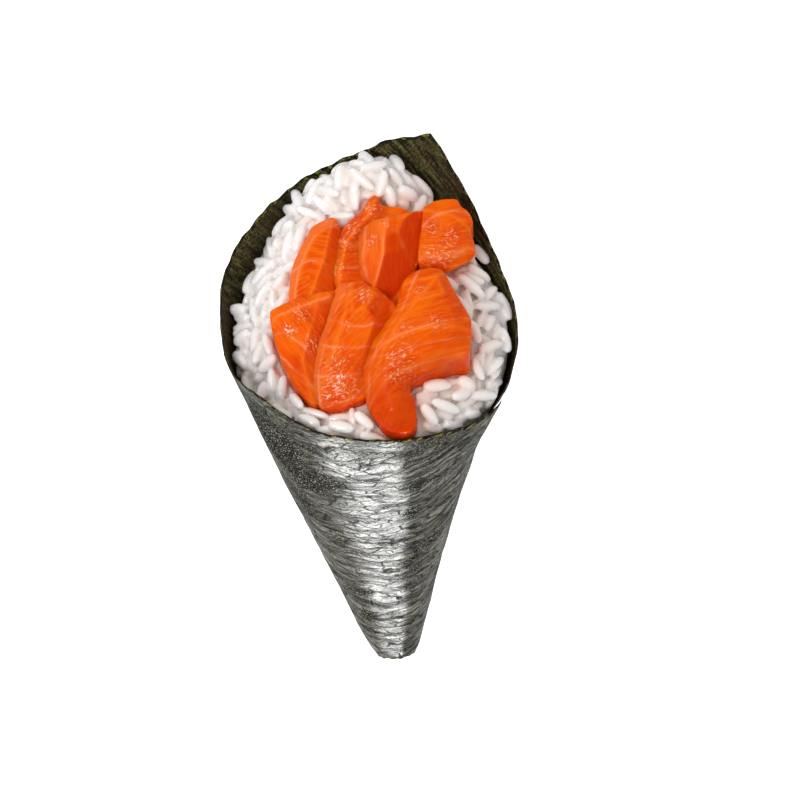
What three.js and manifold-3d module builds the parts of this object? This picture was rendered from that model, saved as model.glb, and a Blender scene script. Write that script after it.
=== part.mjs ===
// A temaki hand roll of salmon and rice, lying on its back: a sheet of nori rolled into a cone,
// filled to the mouth with sushi rice, with seven cut pieces of raw salmon laid on the rice.
// Millimetres and degrees. The roll is modelled about its own axis and then laid down as a whole.

import * as THREE from "three";
import Module from "manifold-3d";

const wasm = await Module();
wasm.setup();

// Cone: the wall makes HALF_ANGLE with the axis, and every height along the axis is counted
// from the point where the wall would meet the axis, a little beyond the open tip.
const HALF_ANGLE = 13.22;
const TIP = { height: 24, frontRise: 2.8, ragged: 0.3, pinch: 0.45, pinchLength: 4 };
const FLOOR_FLAT = 0.7; // how far the underside is pressed flat
const APEX_TO_ORIGIN = 87; // along the table, from the cone's point to the part's origin

// Nori: one sheet, wound about once and a third round. Angles round the cone start at its
// underside, and a turn of the sheet is counted from the end tucked inside.
const SHEET = { thickness: 0.4, layerPitch: 0.8, innerEnd: 150, wrap: 472, columns: 59, rows: 16 };
const CORNER_TURN = 120; // where the sheet's free corner stands up
const LAYER_STEP = 25; // turn over which the sheet moves out to its second layer
const SHORT_EDGE = [[0, 80], [40, 109], [53, 122], [63, 123.3], [87, 131.5], [120, 151.6]];
const LONG_EDGE = [
  [120, 151.6], [156, 144.6], [185, 139.2], [212, 134.4], [236, 128.5], [252, 128.4],
  [284, 132.6], [308, 127.3], [330, 124.8], [366, 119], [392, 112.4], [403, 104],
  [412, 89], [430, 77], [472, 62],
];
const NORI_CLEARANCE = 0.3; // from the nori to salmon and grains
const RIM_RAGGED = 0.35;
const RIPPLE = { size: 0.14, lobes: [3, 5], along: [0.19, -0.05] };
// The mouth opens wider on one side, and the wall is a little drawn in below it and opposite.
const FLARE = { size: 3.4, from: 94, to: 116, angle: 97, spread: 68 };
const WAIST = { size: 0.75, middle: 56, reach: 34, angle: 106, spread: 60 };
const DENT = { size: 0.5, from: 104, to: 118, angle: -108, spread: 45 };

// Rice: a core that fills the cone, with a mound above the mouth and grains fused on it.
const CLEARANCE = 0.35; // between the rice and the nori's inner face
const RICE_EDGE = [
  [-180, 122], [-142, 125], [-104, 118], [-80, 119], [-54, 126], [-32, 133], [-12, 140.5],
  [8, 145], [31, 140.5], [59, 128], [90, 119.5], [120, 112], [150, 118], [180, 122],
];
const CORE = { columns: 36, walls: [26.5, 42, 58, 74, 86, 94, 101, 108], rings: 6 };
const CROWN = 1.2; // height of the rice over the middle of the mouth
const SADDLE = { left: 0.0125, right: 0.0105 }; // fall of the rice towards the two sides
const BACK_MOUND = { size: 9.5, across: 2.5, along: 30.5, width: 15, length: 8 };
const MOUND_BRIM = 8; // how abruptly the mound meets the wall
const GRAIN = { length: 7.1, width: 3.3, sides: 5, rings: 3, fullness: 1.12 };
// How a grain may vary: shares of its length and width, and its rise out of the surface.
const GRAIN_VARIES = { length: [0.9, 1.1], width: [0.92, 1.08], rise: [-0.15, 0.65], shortest: 0.6 };
const GRAIN_STANDS_PROUD = 0.25; // of its width, from the surface to its middle
const GRAINS = { seed: 7, wanted: 170, spacing: 3.3, retrySpacing: 1, draws: 6000, tries: 8 };
const MOUND_STEP = { out: 0.04, angle: 3 }; // between the points that give the mound's slope

// Mouth: a plane across the axis, leaning forward, in which the salmon is laid out.
const MOUTH = { height: 133.4, lean: 18 };

// Salmon: outlines in the mouth plane, across and along it. foot and top are the heights of a
// piece's two faces over that plane, spine is the line of its crest, and droop is how far its
// front end hangs down.
const SALMON_GAP = 0.35;
const SALMON_STEPS = 22;
// Levels of a piece from foot to top, each with its share of the height and of the width.
const SALMON_LEVELS = [[0, 0.88], [0.35, 1], [0.62, 0.98], [0.86, 0.78], [1, 0.3]];
const SALMON = {
  salmon_front_right: {
    outline: [
      [9.6, 1.5], [12.5, 5.4], [17.6, 5.6], [20.4, -1], [21.7, -7.4], [20.2, -13], [13.5, -16.6],
      [8.6, -19.8], [8.6, -24], [6.6, -29], [3.6, -30.6], [1, -28], [-0.4, -22], [0.6, -14], [5.2, -5],
    ],
    foot: -6, top: 8.2, spine: [[15.5, 0], [9.5, -11], [4.4, -25]], droop: 5.2,
  },
  salmon_front_middle: {
    outline: [
      [-5.6, 1.2], [-2.2, 4.8], [1.2, 5.2], [6.6, -2], [4.4, -5.6], [1.4, -12], [-0.8, -19.6],
      [-4, -22.8], [-8.8, -22.6], [-10.8, -18.6], [-9.6, -8.4],
    ],
    foot: -6, top: 7.6, spine: [[-0.5, 1], [-4.5, -9], [-5.8, -18]], droop: 2.6,
  },
  salmon_front_left: {
    outline: [
      [-18.4, -0.2], [-12, 2.8], [-5.2, 3.4], [-6.8, -2.2], [-9, -7.4], [-10.6, -13.4],
      [-10.6, -20.8], [-12.8, -20], [-16.4, -13.2],
    ],
    foot: -6, top: 6, spine: [[-9.5, 0], [-12, -8], [-12, -15]], droop: 3,
  },
  salmon_centre: {
    outline: [
      [0.6, 7], [0.6, 14.6], [1.4, 18.8], [6.4, 20.6], [13.6, 19.6], [13.4, 13], [12.2, 6.6],
      [9.4, 1.6], [7, -2], [3.4, 2.6],
    ],
    foot: -5, top: 7.8, spine: [[5.6, 18], [5.4, 4]], droop: 0,
  },
  salmon_back_right: {
    outline: [
      [13.8, 14], [14.8, 20.2], [17.6, 22.4], [21.8, 22], [24.2, 17], [24.4, 9.6], [21, 6.2],
      [16, 5.2], [13, 7.6],
    ],
    foot: -6, top: 6.4, spine: [[18.5, 19], [18.5, 10]], droop: 0,
  },
  salmon_back_left: {
    outline: [
      [-13.6, 0.6], [-14, 6.6], [-12.8, 12], [-9, 19], [-5, 21.2], [-2.9, 17.6], [-3.2, 10],
      [-5.2, 3], [-8.6, 0],
    ],
    foot: -5, top: 6.2, spine: [[-6, 17], [-8.5, 5]], droop: 0,
  },
  salmon_behind: {
    outline: [
      [-4.4, 3.4], [-4.4, 9.4], [-2.6, 16.4], [2.6, 23.6], [5.6, 25.2], [7.6, 23.2], [12.2, 21.8],
      [12, 17], [4, 12], [1.4, 4.4],
    ],
    foot: -5, top: 6.6, spine: [[5, 22], [-0.5, 14], [-1.6, 6]], droop: 0,
  },
};

const NORI_LOOK = { color: 0x2b2f22, roughness: 0.42, metalness: 0 };
const RICE_LOOK = { color: 0xf1efe9, roughness: 0.35, metalness: 0 };
const SALMON_LOOK = { color: 0xf4702a, roughness: 0.28, metalness: 0 };

const { degToRad, lerp, smoothstep } = THREE.MathUtils;
const wallSlope = Math.tan(degToRad(HALF_ANGLE));

// A smooth curve through stations of [place, value].
function curveThrough(stations) {
  const places = stations.map(([place]) => place);
  const values = stations.map(([, value]) => value);
  const curve = new THREE.CubicInterpolant(places, values, 1, new Float64Array(1));
  return (place) => curve.evaluate(place)[0];
}

// The same numbers in the same order on every run.
function seededDraws(seed) {
  let state = seed;
  return () => {
    state = (state + 0x6d2b79f5) | 0;
    let bits = Math.imul(state ^ (state >>> 15), 1 | state);
    bits = (bits + Math.imul(bits ^ (bits >>> 7), 61 | bits)) ^ bits;
    return ((bits ^ (bits >>> 14)) >>> 0) / 4294967296;
  };
}

// A bump round the cone: 1 at the given angle, falling to 0 at the given spread on either side.
function lobe(angle, { angle: middle, spread }) {
  const away = Math.abs(THREE.MathUtils.euclideanModulo(angle - middle + 180, 360) - 180);
  return away < spread ? Math.cos((away / spread) * (Math.PI / 2)) ** 2 : 0;
}

// A point of the roll from its height along the axis, its radius and its angle from the underside.
function onRoll(height, radius, angle) {
  const turn = degToRad(angle);
  return new THREE.Vector3(-radius * Math.sin(turn), -radius * Math.cos(turn), height);
}

// Radius of the nori's outermost face.
function wallRadius(height, angle) {
  const around = degToRad(angle);
  let radius = height * wallSlope;
  radius += FLARE.size * smoothstep(height, FLARE.from, FLARE.to) * lobe(angle, FLARE);
  const waist = Math.max(0, 1 - ((height - WAIST.middle) / WAIST.reach) ** 2);
  radius -= WAIST.size * waist * lobe(angle, WAIST);
  radius -= DENT.size * smoothstep(height, DENT.from, DENT.to) * lobe(angle, DENT);
  radius -= TIP.pinch * Math.max(0, 1 - (height - TIP.height) / TIP.pinchLength);
  const [wide, narrow] = RIPPLE.lobes.map(
    (lobes, wave) => Math.sin(lobes * around + height * RIPPLE.along[wave]));
  radius += RIPPLE.size * wide * narrow;
  const pressed = (height * wallSlope - FLOOR_FLAT) / Math.cos(around);
  return Math.cos(around) > 0 ? Math.min(radius, pressed) : radius;
}

// A closed solid from points and triangles of their indices.
function solidOf(points, triangles) {
  const vertProperties = new Float32Array(points.flatMap((point) => point.toArray()));
  const triVerts = new Uint32Array(triangles.flat());
  return new wasm.Manifold(new wasm.Mesh({ numProp: 3, vertProperties, triVerts }));
}

// Triangles of an open grid of points, numbered row by row.
function gridTriangles(rows, columns, first, flip) {
  const triangles = [];
  for (let row = 0; row < rows; row++) {
    for (let column = 0; column < columns; column++) {
      const a = first + row * (columns + 1) + column;
      const b = a + columns + 1;
      triangles.push(flip ? [a, b, b + 1] : [a, b + 1, b]);
      triangles.push(flip ? [a, b + 1, a + 1] : [a, a + 1, b + 1]);
    }
  }
  return triangles;
}

const shortEdge = curveThrough(SHORT_EDGE);
const longEdge = curveThrough(LONG_EDGE);

// Height of the sheet's upper edge at a turn, and of its cut at the tip.
function rimHeight(turn) {
  const edge = turn < CORNER_TURN ? shortEdge(turn) : longEdge(turn);
  return edge + RIM_RAGGED * Math.sin(turn * 0.61) * Math.sin(turn * 0.23 + 1);
}

function tipHeight(turn) {
  const facingUp = Math.max(0, -Math.cos(degToRad(SHEET.innerEnd - turn)));
  return TIP.height + TIP.frontRise * facingUp ** 2 + TIP.ragged * Math.sin(turn * 0.31);
}

// The rolled sheet. A grown sheet is thicker on both faces and longer at its edges, and keeps
// the other pieces clear of the real one.
function noriSheet(grow) {
  const { thickness, layerPitch, innerEnd, wrap, columns, rows } = SHEET;
  const faces = [-grow, thickness + grow];
  const points = [];
  for (const depth of faces) {
    for (let column = 0; column <= columns; column++) {
      const turn = (column / columns) * wrap;
      const tucked = layerPitch * (1 - smoothstep(turn, CORNER_TURN, CORNER_TURN + LAYER_STEP));
      const low = tipHeight(turn) - grow;
      const high = rimHeight(turn) + grow;
      for (let row = 0; row <= rows; row++) {
        const height = lerp(low, high, row / rows);
        const angle = innerEnd - turn;
        points.push(onRoll(height, wallRadius(height, angle) - tucked - depth, angle));
      }
    }
  }
  const stride = rows + 1;
  const inside = (columns + 1) * stride;
  const triangles = [
    ...gridTriangles(columns, rows, 0, true),
    ...gridTriangles(columns, rows, inside, false),
  ];
  // The four cut edges join the two faces.
  const strip = (a, b) => triangles.push([a, b + inside, b], [a, a + inside, b + inside]);
  for (let row = 0; row < rows; row++) {
    strip(row + 1, row);
    strip(columns * stride + row, columns * stride + row + 1);
  }
  for (let column = 0; column < columns; column++) {
    strip(column * stride, (column + 1) * stride);
    strip((column + 1) * stride + rows, column * stride + rows);
  }
  return solidOf(points, triangles);
}

const riceEdge = curveThrough(RICE_EDGE);
const mouthCentre = new THREE.Vector3(0, 0, MOUTH.height);
const mouthAcross = new THREE.Vector3(-1, 0, 0);
const mouthAlong = new THREE.Vector3(0, -Math.cos(degToRad(MOUTH.lean)), Math.sin(degToRad(MOUTH.lean)));
const mouthUp = new THREE.Vector3().crossVectors(mouthAcross, mouthAlong);

// A point from its places across and along the mouth plane and its height over it, and back.
function onMouth(across, along, up) {
  return mouthCentre.clone().addScaledVector(mouthAcross, across)
    .addScaledVector(mouthAlong, along).addScaledVector(mouthUp, up);
}

function mouthPlace(point) {
  const offset = point.clone().sub(mouthCentre);
  return [offset.dot(mouthAcross), offset.dot(mouthAlong), offset.dot(mouthUp)];
}

// Radius of the rice, clear of the nori's inner face, also where the sheet's inner end lies.
function riceRadius(height, angle) {
  const { thickness, layerPitch, innerEnd } = SHEET;
  const cornerAngle = innerEnd - CORNER_TURN;
  const doubled = smoothstep(angle, cornerAngle - LAYER_STEP, cornerAngle)
    * (1 - smoothstep(angle, innerEnd, innerEnd + 10));
  return wallRadius(height, angle) - thickness - CLEARANCE - layerPitch * doubled;
}

// The top of the rice: out is 0 over the middle of the mouth and 1 at the wall.
function moundPoint(out, angle) {
  const height = riceEdge(angle);
  const [across, along, up] = mouthPlace(onRoll(height, riceRadius(height, angle), angle));
  const [x, y] = [across * out, along * out];
  const saddle = (x < 0 ? SADDLE.left : SADDLE.right) * x * x;
  const hill = BACK_MOUND.size * Math.exp(-(((x - BACK_MOUND.across) / BACK_MOUND.width) ** 2)
    - ((y - BACK_MOUND.along) / BACK_MOUND.length) ** 2);
  return onMouth(x, y, lerp(up, CROWN - saddle + hill, 1 - out ** MOUND_BRIM));
}

function riceCore() {
  const { columns, walls, rings } = CORE;
  const points = [];
  const ring = (place) => {
    for (let column = 0; column < columns; column++) {
      points.push(place(-180 + (column / columns) * 360));
    }
  };
  for (const height of walls) {
    ring((angle) => onRoll(height, riceRadius(height, angle), angle));
  }
  for (let step = rings; step > 0; step--) {
    ring((angle) => moundPoint(step / rings, angle));
  }
  const count = walls.length + rings;
  const triangles = [];
  for (let row = 0; row + 1 < count; row++) {
    for (let column = 0; column < columns; column++) {
      const a = row * columns + column;
      const b = row * columns + ((column + 1) % columns);
      triangles.push([a, b + columns, b], [a, a + columns, b + columns]);
    }
  }
  const foot = points.push(new THREE.Vector3(0, 0, walls[0])) - 1;
  const peak = points.push(moundPoint(0, 0)) - 1;
  const last = (count - 1) * columns;
  for (let column = 0; column < columns; column++) {
    const next = (column + 1) % columns;
    triangles.push([foot, column, next], [peak, last + next, last + column]);
  }
  return solidOf(points, triangles);
}

// The nearest point to a place on a piece's spine, a line of two or three points.
function nearestOnSpine(spine, place) {
  const nearest = new THREE.Vector3();
  let best = Infinity;
  for (let bend = 0; bend + 1 < spine.length; bend++) {
    const stretch = new THREE.Line3(
      new THREE.Vector3(...spine[bend], 0), new THREE.Vector3(...spine[bend + 1], 0));
    const point = stretch.closestPointToPoint(place, true, new THREE.Vector3());
    if (point.distanceTo(place) < best) {
      best = point.distanceTo(place);
      nearest.copy(point);
    }
  }
  return nearest;
}

// One piece of salmon: its outline drawn in towards the spine for a rounded foot and a crowned
// top. grow makes it larger all round, to cut a gap into what lies against it.
function salmonPiece({ outline, foot, top, spine, droop }, grow) {
  const loop = new THREE.CatmullRomCurve3(
    outline.map(([across, along]) => new THREE.Vector3(across, along, 0)), true, "centripetal");
  const edge = loop.getSpacedPoints(SALMON_STEPS).slice(0, SALMON_STEPS);
  if (THREE.ShapeUtils.isClockWise(edge)) {
    edge.reverse();
  }
  const outward = edge.map((point, step) => {
    const chord = edge[(step + 1) % SALMON_STEPS].clone().sub(edge.at(step - 1));
    return new THREE.Vector3(chord.y, -chord.x, 0).normalize();
  });
  const backEnd = spine[0][1];
  const frontEnd = Math.min(...edge.map((point) => point.y));
  const points = [];
  for (const [rise, width] of SALMON_LEVELS) {
    const height = lerp(foot - grow, top + grow, rise);
    for (let step = 0; step < SALMON_STEPS; step++) {
      const crest = nearestOnSpine(spine, edge[step]);
      const place = crest.lerp(edge[step], width).addScaledVector(outward[step], grow);
      const hang = droop * smoothstep(backEnd - place.y, 0, backEnd - frontEnd) ** 2;
      points.push(onMouth(place.x, place.y, height - hang));
    }
  }
  const last = (SALMON_LEVELS.length - 1) * SALMON_STEPS;
  const triangles = [];
  for (let step = 0; step < SALMON_STEPS; step++) {
    const next = (step + 1) % SALMON_STEPS;
    for (let row = 0; row < last; row += SALMON_STEPS) {
      const upper = row + SALMON_STEPS;
      triangles.push([row + step, row + next, upper + next], [row + step, upper + next, upper + step]);
    }
  }
  // The flat foot and the small flat of the crest.
  for (const [a, b, c] of THREE.ShapeUtils.triangulateShape(edge, [])) {
    triangles.push([a, c, b], [last + a, last + b, last + c]);
  }
  return solidOf(points, triangles);
}

// What is left of a solid's largest part, with any hollow inside it filled.
function largestPart(solid) {
  return solid.decompose().reduce((best, part) => (part.volume() > best.volume() ? part : best));
}

// A plump grain with its middle at a point, lying along one direction.
function riceGrain(centre, along, length, width) {
  const { sides, rings, fullness } = GRAIN;
  const lie = new THREE.Quaternion().setFromUnitVectors(new THREE.Vector3(0, 0, 1), along);
  const points = [];
  for (let ring = 1; ring <= rings; ring++) {
    const swing = (ring / (rings + 1)) * Math.PI;
    for (let side = 0; side < sides; side++) {
      const turn = ((side + ring / 2) / sides) * 2 * Math.PI;
      const girth = (width / 2) * Math.sin(swing) ** 0.8 * fullness;
      points.push(new THREE.Vector3(
        girth * Math.cos(turn), girth * Math.sin(turn), (-length / 2) * Math.cos(swing)));
    }
  }
  const start = points.push(new THREE.Vector3(0, 0, -length / 2)) - 1;
  const end = points.push(new THREE.Vector3(0, 0, length / 2)) - 1;
  const triangles = [];
  for (let side = 0; side < sides; side++) {
    const next = (side + 1) % sides;
    for (let ring = 0; ring + 1 < rings; ring++) {
      const a = ring * sides + side;
      const b = ring * sides + next;
      triangles.push([a, b, a + sides], [b, b + sides, a + sides]);
    }
    const last = (rings - 1) * sides;
    triangles.push([start, next, side], [end, last + side, last + next]);
  }
  return solidOf(points.map((point) => point.applyQuaternion(lie).add(centre)), triangles);
}

// Whether a point lies inside the roll, whatever its height.
function insideWall(point) {
  const radius = Math.hypot(point.x, point.y);
  const angle = THREE.MathUtils.radToDeg(Math.atan2(-point.x, -point.y));
  return radius < riceRadius(point.z, angle);
}

// Grains over the mound. One that would cross the nori or the salmon is turned and shortened,
// and skipped if that doesn't help.
function looseGrains(obstacles) {
  const draw = seededDraws(GRAINS.seed);
  const placed = [];
  const tried = [];
  const grains = [];
  for (let count = 0; count < GRAINS.draws && grains.length < GRAINS.wanted; count++) {
    const out = Math.sqrt(draw());
    const angle = -180 + 360 * draw();
    const spot = moundPoint(out, angle);
    if (placed.some((other) => other.distanceTo(spot) < GRAINS.spacing)
      || tried.some((other) => other.distanceTo(spot) < GRAINS.retrySpacing)) {
      continue;
    }
    tried.push(spot);
    const outward = moundPoint(Math.min(1, out + MOUND_STEP.out), angle)
      .sub(moundPoint(out - MOUND_STEP.out, angle));
    const around = moundPoint(out, angle + MOUND_STEP.angle)
      .sub(moundPoint(out, angle - MOUND_STEP.angle));
    const normal = new THREE.Vector3().crossVectors(outward, around).normalize();
    normal.multiplyScalar(Math.sign(normal.dot(mouthUp)));
    for (let attempt = 0; attempt < GRAINS.tries; attempt++) {
      const along = around.clone().normalize().applyAxisAngle(normal, draw() * Math.PI);
      along.addScaledVector(normal, lerp(...GRAIN_VARIES.rise, draw())).normalize();
      const shortened = lerp(1, GRAIN_VARIES.shortest, attempt / GRAINS.tries);
      const length = GRAIN.length * lerp(...GRAIN_VARIES.length, draw()) * shortened;
      const width = GRAIN.width * lerp(...GRAIN_VARIES.width, draw());
      const centre = spot.clone().addScaledVector(normal, GRAIN_STANDS_PROUD * width);
      const ends = [-0.5, 0.5].map((half) => centre.clone().addScaledVector(along, half * length));
      if (!ends.every(insideWall)) {
        continue;
      }
      const grain = riceGrain(centre, along, length, width);
      if (grain.intersect(obstacles).isEmpty()) {
        placed.push(spot);
        grains.push(grain);
        break;
      }
    }
  }
  return grains;
}

function meshOf(name, solid, look) {
  const { vertProperties, triVerts } = solid.getMesh();
  const geometry = new THREE.BufferGeometry();
  geometry.setAttribute("position", new THREE.BufferAttribute(new Float32Array(vertProperties), 3));
  geometry.setIndex(new THREE.BufferAttribute(new Uint32Array(triVerts), 1));
  geometry.computeVertexNormals();
  const mesh = new THREE.Mesh(geometry, new THREE.MeshStandardMaterial(look));
  mesh.name = name;
  return mesh;
}

const nori = noriSheet(0);
const core = riceCore();

// Salmon from the front piece back: each is cut clear of the nori, of the rice under it and of
// the pieces already laid.
const pieces = {};
let laid = noriSheet(NORI_CLEARANCE);
for (const [name, shape] of Object.entries(SALMON)) {
  pieces[name] = largestPart(salmonPiece(shape, 0).subtract(laid).subtract(core));
  laid = laid.add(salmonPiece(shape, SALMON_GAP));
}

const roll = new THREE.Group();
roll.rotation.x = Math.PI / 2 - degToRad(HALF_ANGLE);
roll.position.set(0, APEX_TO_ORIGIN, -FLOOR_FLAT * Math.cos(degToRad(HALF_ANGLE)));
roll.add(meshOf("nori", nori, NORI_LOOK));
const grains = looseGrains(laid);
roll.add(meshOf("rice", largestPart(grains.reduce((heap, grain) => heap.add(grain), core)), RICE_LOOK));
for (const [name, solid] of Object.entries(pieces)) {
  roll.add(meshOf(name, solid, SALMON_LOOK));
}

export default roll;
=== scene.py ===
import math

import bpy
import numpy as np
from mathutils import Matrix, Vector, noise
from mathutils.bvhtree import BVHTree
from mathutils.geometry import delaunay_2d_cdt
from mathutils.kdtree import KDTree


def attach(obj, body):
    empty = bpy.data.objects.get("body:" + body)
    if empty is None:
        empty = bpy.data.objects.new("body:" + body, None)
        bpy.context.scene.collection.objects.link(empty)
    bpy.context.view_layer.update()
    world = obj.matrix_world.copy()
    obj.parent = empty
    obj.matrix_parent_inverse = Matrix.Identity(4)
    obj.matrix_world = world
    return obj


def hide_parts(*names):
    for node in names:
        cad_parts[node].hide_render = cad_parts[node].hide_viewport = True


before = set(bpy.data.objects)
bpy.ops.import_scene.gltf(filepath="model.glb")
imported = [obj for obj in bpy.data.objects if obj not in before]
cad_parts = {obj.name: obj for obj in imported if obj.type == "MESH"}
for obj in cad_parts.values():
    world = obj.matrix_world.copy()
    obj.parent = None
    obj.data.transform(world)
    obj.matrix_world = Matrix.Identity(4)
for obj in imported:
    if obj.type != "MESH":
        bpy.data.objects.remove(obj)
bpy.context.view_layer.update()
bpy.ops.object.select_all(action="DESELECT")

# Nori: one toasted sheet of pressed seaweed, wound about once and a third round into a cone and
# left open at the tip. Its outer face is glossy and wrinkled round the cone, its inner face is
# matt, and its cut edges are ragged and show yellow green where they are thin.
MM = 0.001  # Every other size is in millimetres, and turns are in degrees.
HALF_ANGLE = math.radians(13.22)
APEX_TO_ORIGIN = 87.0
FLOOR_FLAT = 0.7
TIP_CUT = 24.0
TIP_RISE = 2.8
BULGE_OUT = 3.4
WAIST_IN = 0.75
SIDE_IN = 0.5
TIP_IN = 0.45
WALL_WAVE = 0.14
SHEET_WRAP = 472.0
SHEET_INNER_END = 150.0
SHEET_COLUMNS = 236
SHEET_ROWS = 138
SHEET_THICKNESS = 0.22
LAYER_PITCH = 0.8
CORNER_TURN = 120.0
LAYER_STEP = 25.0
FRONT_TURN = 330.0
SHORT_EDGE = [
    (0, 80), (36, 108), (43, 113.6), (48, 117.8), (53, 121.4), (60, 123.3), (87, 131.8), (120, 152.6),
]
LONG_EDGE = [
    (120, 152.6), (156, 144.8), (185, 139.2), (212, 134.4), (236, 128.5), (252, 128.4),
    (284, 132.6), (308, 127.3), (330, 124.8), (366, 119.2), (384, 116.2), (392, 115), (399, 113),
    (404, 108.5), (412, 92), (430, 77), (472, 62),
]
# Matt spots of the outer face: across and along the sheet, their two half widths, and how matt.
MATT_SPOTS = [
    (-23.5, 113, 9, 11, 1.2), (-17, 104, 7, 6, 1.0), (-10.5, 106, 5, 4, 0.9),
    (6.3, 92.3, 2.6, 1.8, 1.0), (8.3, 103, 3.5, 1.8, 0.8), (4.2, 72, 2.6, 1.6, 0.7),
    (-5.6, 46.7, 1.9, 3.2, 0.9), (-14, 48.5, 3, 6, 0.6), (-19, 90, 5, 8, 0.6), (10, 76, 5, 3, 0.5),
    (1.5, 97, 2, 1, 0.6), (-3, 120, 5, 4, 0.5), (9, 117, 8, 5, 0.5),
]
WRINKLE = 0.20
FINE_WRINKLE = 0.06
RAGGED = 0.4
SIDE_EDGE_PACE = 0.4  # Millimetres from a side edge for each degree of turn.


def smoothstep(value, low, high):
    share = np.clip((value - low) / (high - low), 0, 1)
    return share * share * (3 - 2 * share)


def curve_through(stations):
    """A smooth curve through stations of place and value."""
    places, values = np.array(stations, float).T
    secants = np.diff(values) / np.diff(places)
    slopes = np.concatenate([secants[:1], (secants[1:] + secants[:-1]) / 2, secants[-1:]])

    def value_at(place):
        left = np.clip(np.searchsorted(places, place, side="right") - 1, 0, len(secants) - 1)
        span = places[left + 1] - places[left]
        share = (place - places[left]) / span
        start = (1 + 2 * share) * (1 - share) ** 2 * values[left]
        start += share * (1 - share) ** 2 * span * slopes[left]
        end = share ** 2 * (3 - 2 * share) * values[left + 1]
        return start + end + share ** 2 * (share - 1) * span * slopes[left + 1]

    return value_at


def rough(places):
    """Smooth noise from about -1 to 1 at each place."""
    return np.array([noise.noise(Vector(place)) for place in places.tolist()])


def lobe(angle, middle, spread):
    """A soft hump from 0 to 1 round an angle."""
    away = np.abs((angle - middle + 180) % 360 - 180)
    return np.where(away < spread, np.cos(away / spread * math.pi / 2) ** 2, 0)


def wall_radius(height, angle):
    """Radius of the nori's outermost face at an angle from the underside: a cone that bulges behind
    the rice, is drawn in at the waist, at the other side and at the tip, and rests flat."""
    around = np.radians(angle)
    radius = height * math.tan(HALF_ANGLE)
    radius = radius + BULGE_OUT * smoothstep(height, 94, 116) * lobe(angle, 97, 68)
    waist = np.maximum(0, 1 - ((height - 56) / 34) ** 2)
    radius = radius - WAIST_IN * waist * lobe(angle, 106, 60)
    radius = radius - SIDE_IN * smoothstep(height, 104, 118) * lobe(angle, -108, 45)
    radius = radius - TIP_IN * np.maximum(0, 1 - (height - TIP_CUT) / 4)
    radius = radius + WALL_WAVE * np.sin(3 * around + 0.19 * height) * np.sin(5 * around - 0.05 * height)
    facing_down = np.cos(around)
    pressed = (height * math.tan(HALF_ANGLE) - FLOOR_FLAT) / np.where(facing_down > 0, facing_down, 1)
    return np.where(facing_down > 0, np.minimum(radius, pressed), radius)


def on_roll(height, radius, angle):
    """A place about the roll's own axis, which runs up from the cone's point."""
    turn = np.radians(angle)
    return np.stack([-radius * np.sin(turn), -radius * np.cos(turn), height + 0 * radius], axis=-1)


def laid_down(points):
    """From millimetres about the roll's own axis to metres where the roll lies."""
    tilt = math.pi / 2 - HALF_ANGLE
    x, y, z = points[..., 0], points[..., 1], points[..., 2]
    laid_y = y * math.cos(tilt) - z * math.sin(tilt) + APEX_TO_ORIGIN
    laid_z = y * math.sin(tilt) + z * math.cos(tilt) - FLOOR_FLAT * math.cos(HALF_ANGLE)
    return np.stack([x, laid_y, laid_z], axis=-1) * MM


def rim_height(turn):
    """How far up the roll the sheet's upper edge lies at a turn from its inner end."""
    edge = np.where(turn < CORNER_TURN, curve_through(SHORT_EDGE)(turn), curve_through(LONG_EDGE)(turn))
    return edge + 0.35 * np.sin(turn * 0.61) * np.sin(turn * 0.23 + 1)


def vertex_places(piece):
    places = np.empty(len(piece.data.vertices) * 3, np.float32)
    piece.data.vertices.foreach_get("co", places)
    return places.reshape(-1, 3).astype(float)


def move_vertices(piece, places):
    piece.data.vertices.foreach_set("co", places.astype(np.float32).ravel())
    piece.data.update()


def give_numbers(piece, name, values):
    """A number for each vertex, which materials read."""
    numbers = piece.data.attributes.new(name, "FLOAT", "POINT")
    numbers.data.foreach_set("value", values.astype(np.float32))


def pick(*pieces):
    """Selects these pieces alone, the last as the active one."""
    bpy.ops.object.select_all(action="DESELECT")
    for piece in pieces:
        piece.select_set(True)
    bpy.context.view_layer.objects.active = pieces[-1]


def finish_with(piece, kind, **settings):
    """Adds a modifier to the piece and applies it."""
    pick(piece)
    bpy.ops.object.modifier_add(type=kind)
    modifier = piece.modifiers[-1]
    for name, value in settings.items():
        setattr(modifier, name, value)
    bpy.ops.object.modifier_apply(modifier=modifier.name)
    piece.select_set(False)


def shade_smooth(piece):
    piece.data.polygons.foreach_set("use_smooth", np.ones(len(piece.data.polygons), bool))


def new_material(name, **plain_values):
    """A material, its nodes and links, and its Principled shader with plain values set."""
    material = bpy.data.materials.new(name)
    material.use_nodes = True
    tree = material.node_tree
    shader = tree.nodes["Principled BSDF"]
    for socket, value in plain_values.items():
        shader.inputs[socket.replace("_", " ")].default_value = value
    return material, tree, shader


def node(tree, kind, links=(), **settings):
    """A node with its settings, and its numbered or named inputs linked or set."""
    made = tree.nodes.new(kind)
    for name, value in settings.items():
        setattr(made, name, value)
    for socket, source in dict(links).items():
        if isinstance(source, bpy.types.NodeSocket):
            tree.links.new(source, made.inputs[socket])
        else:
            made.inputs[socket].default_value = source
    return made


def ramp(tree, source, stops):
    """A colour ramp from stops of place and grey or colour."""
    made = node(tree, "ShaderNodeValToRGB", {0: source})
    bands = made.color_ramp.elements
    while len(bands) < len(stops):
        bands.new(0.5)
    for band, (place, colour) in zip(bands, stops):
        band.position = place
        band.color = (*colour, 1) if isinstance(colour, tuple) else (colour, colour, colour, 1)
    return made.outputs["Color"]


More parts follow.
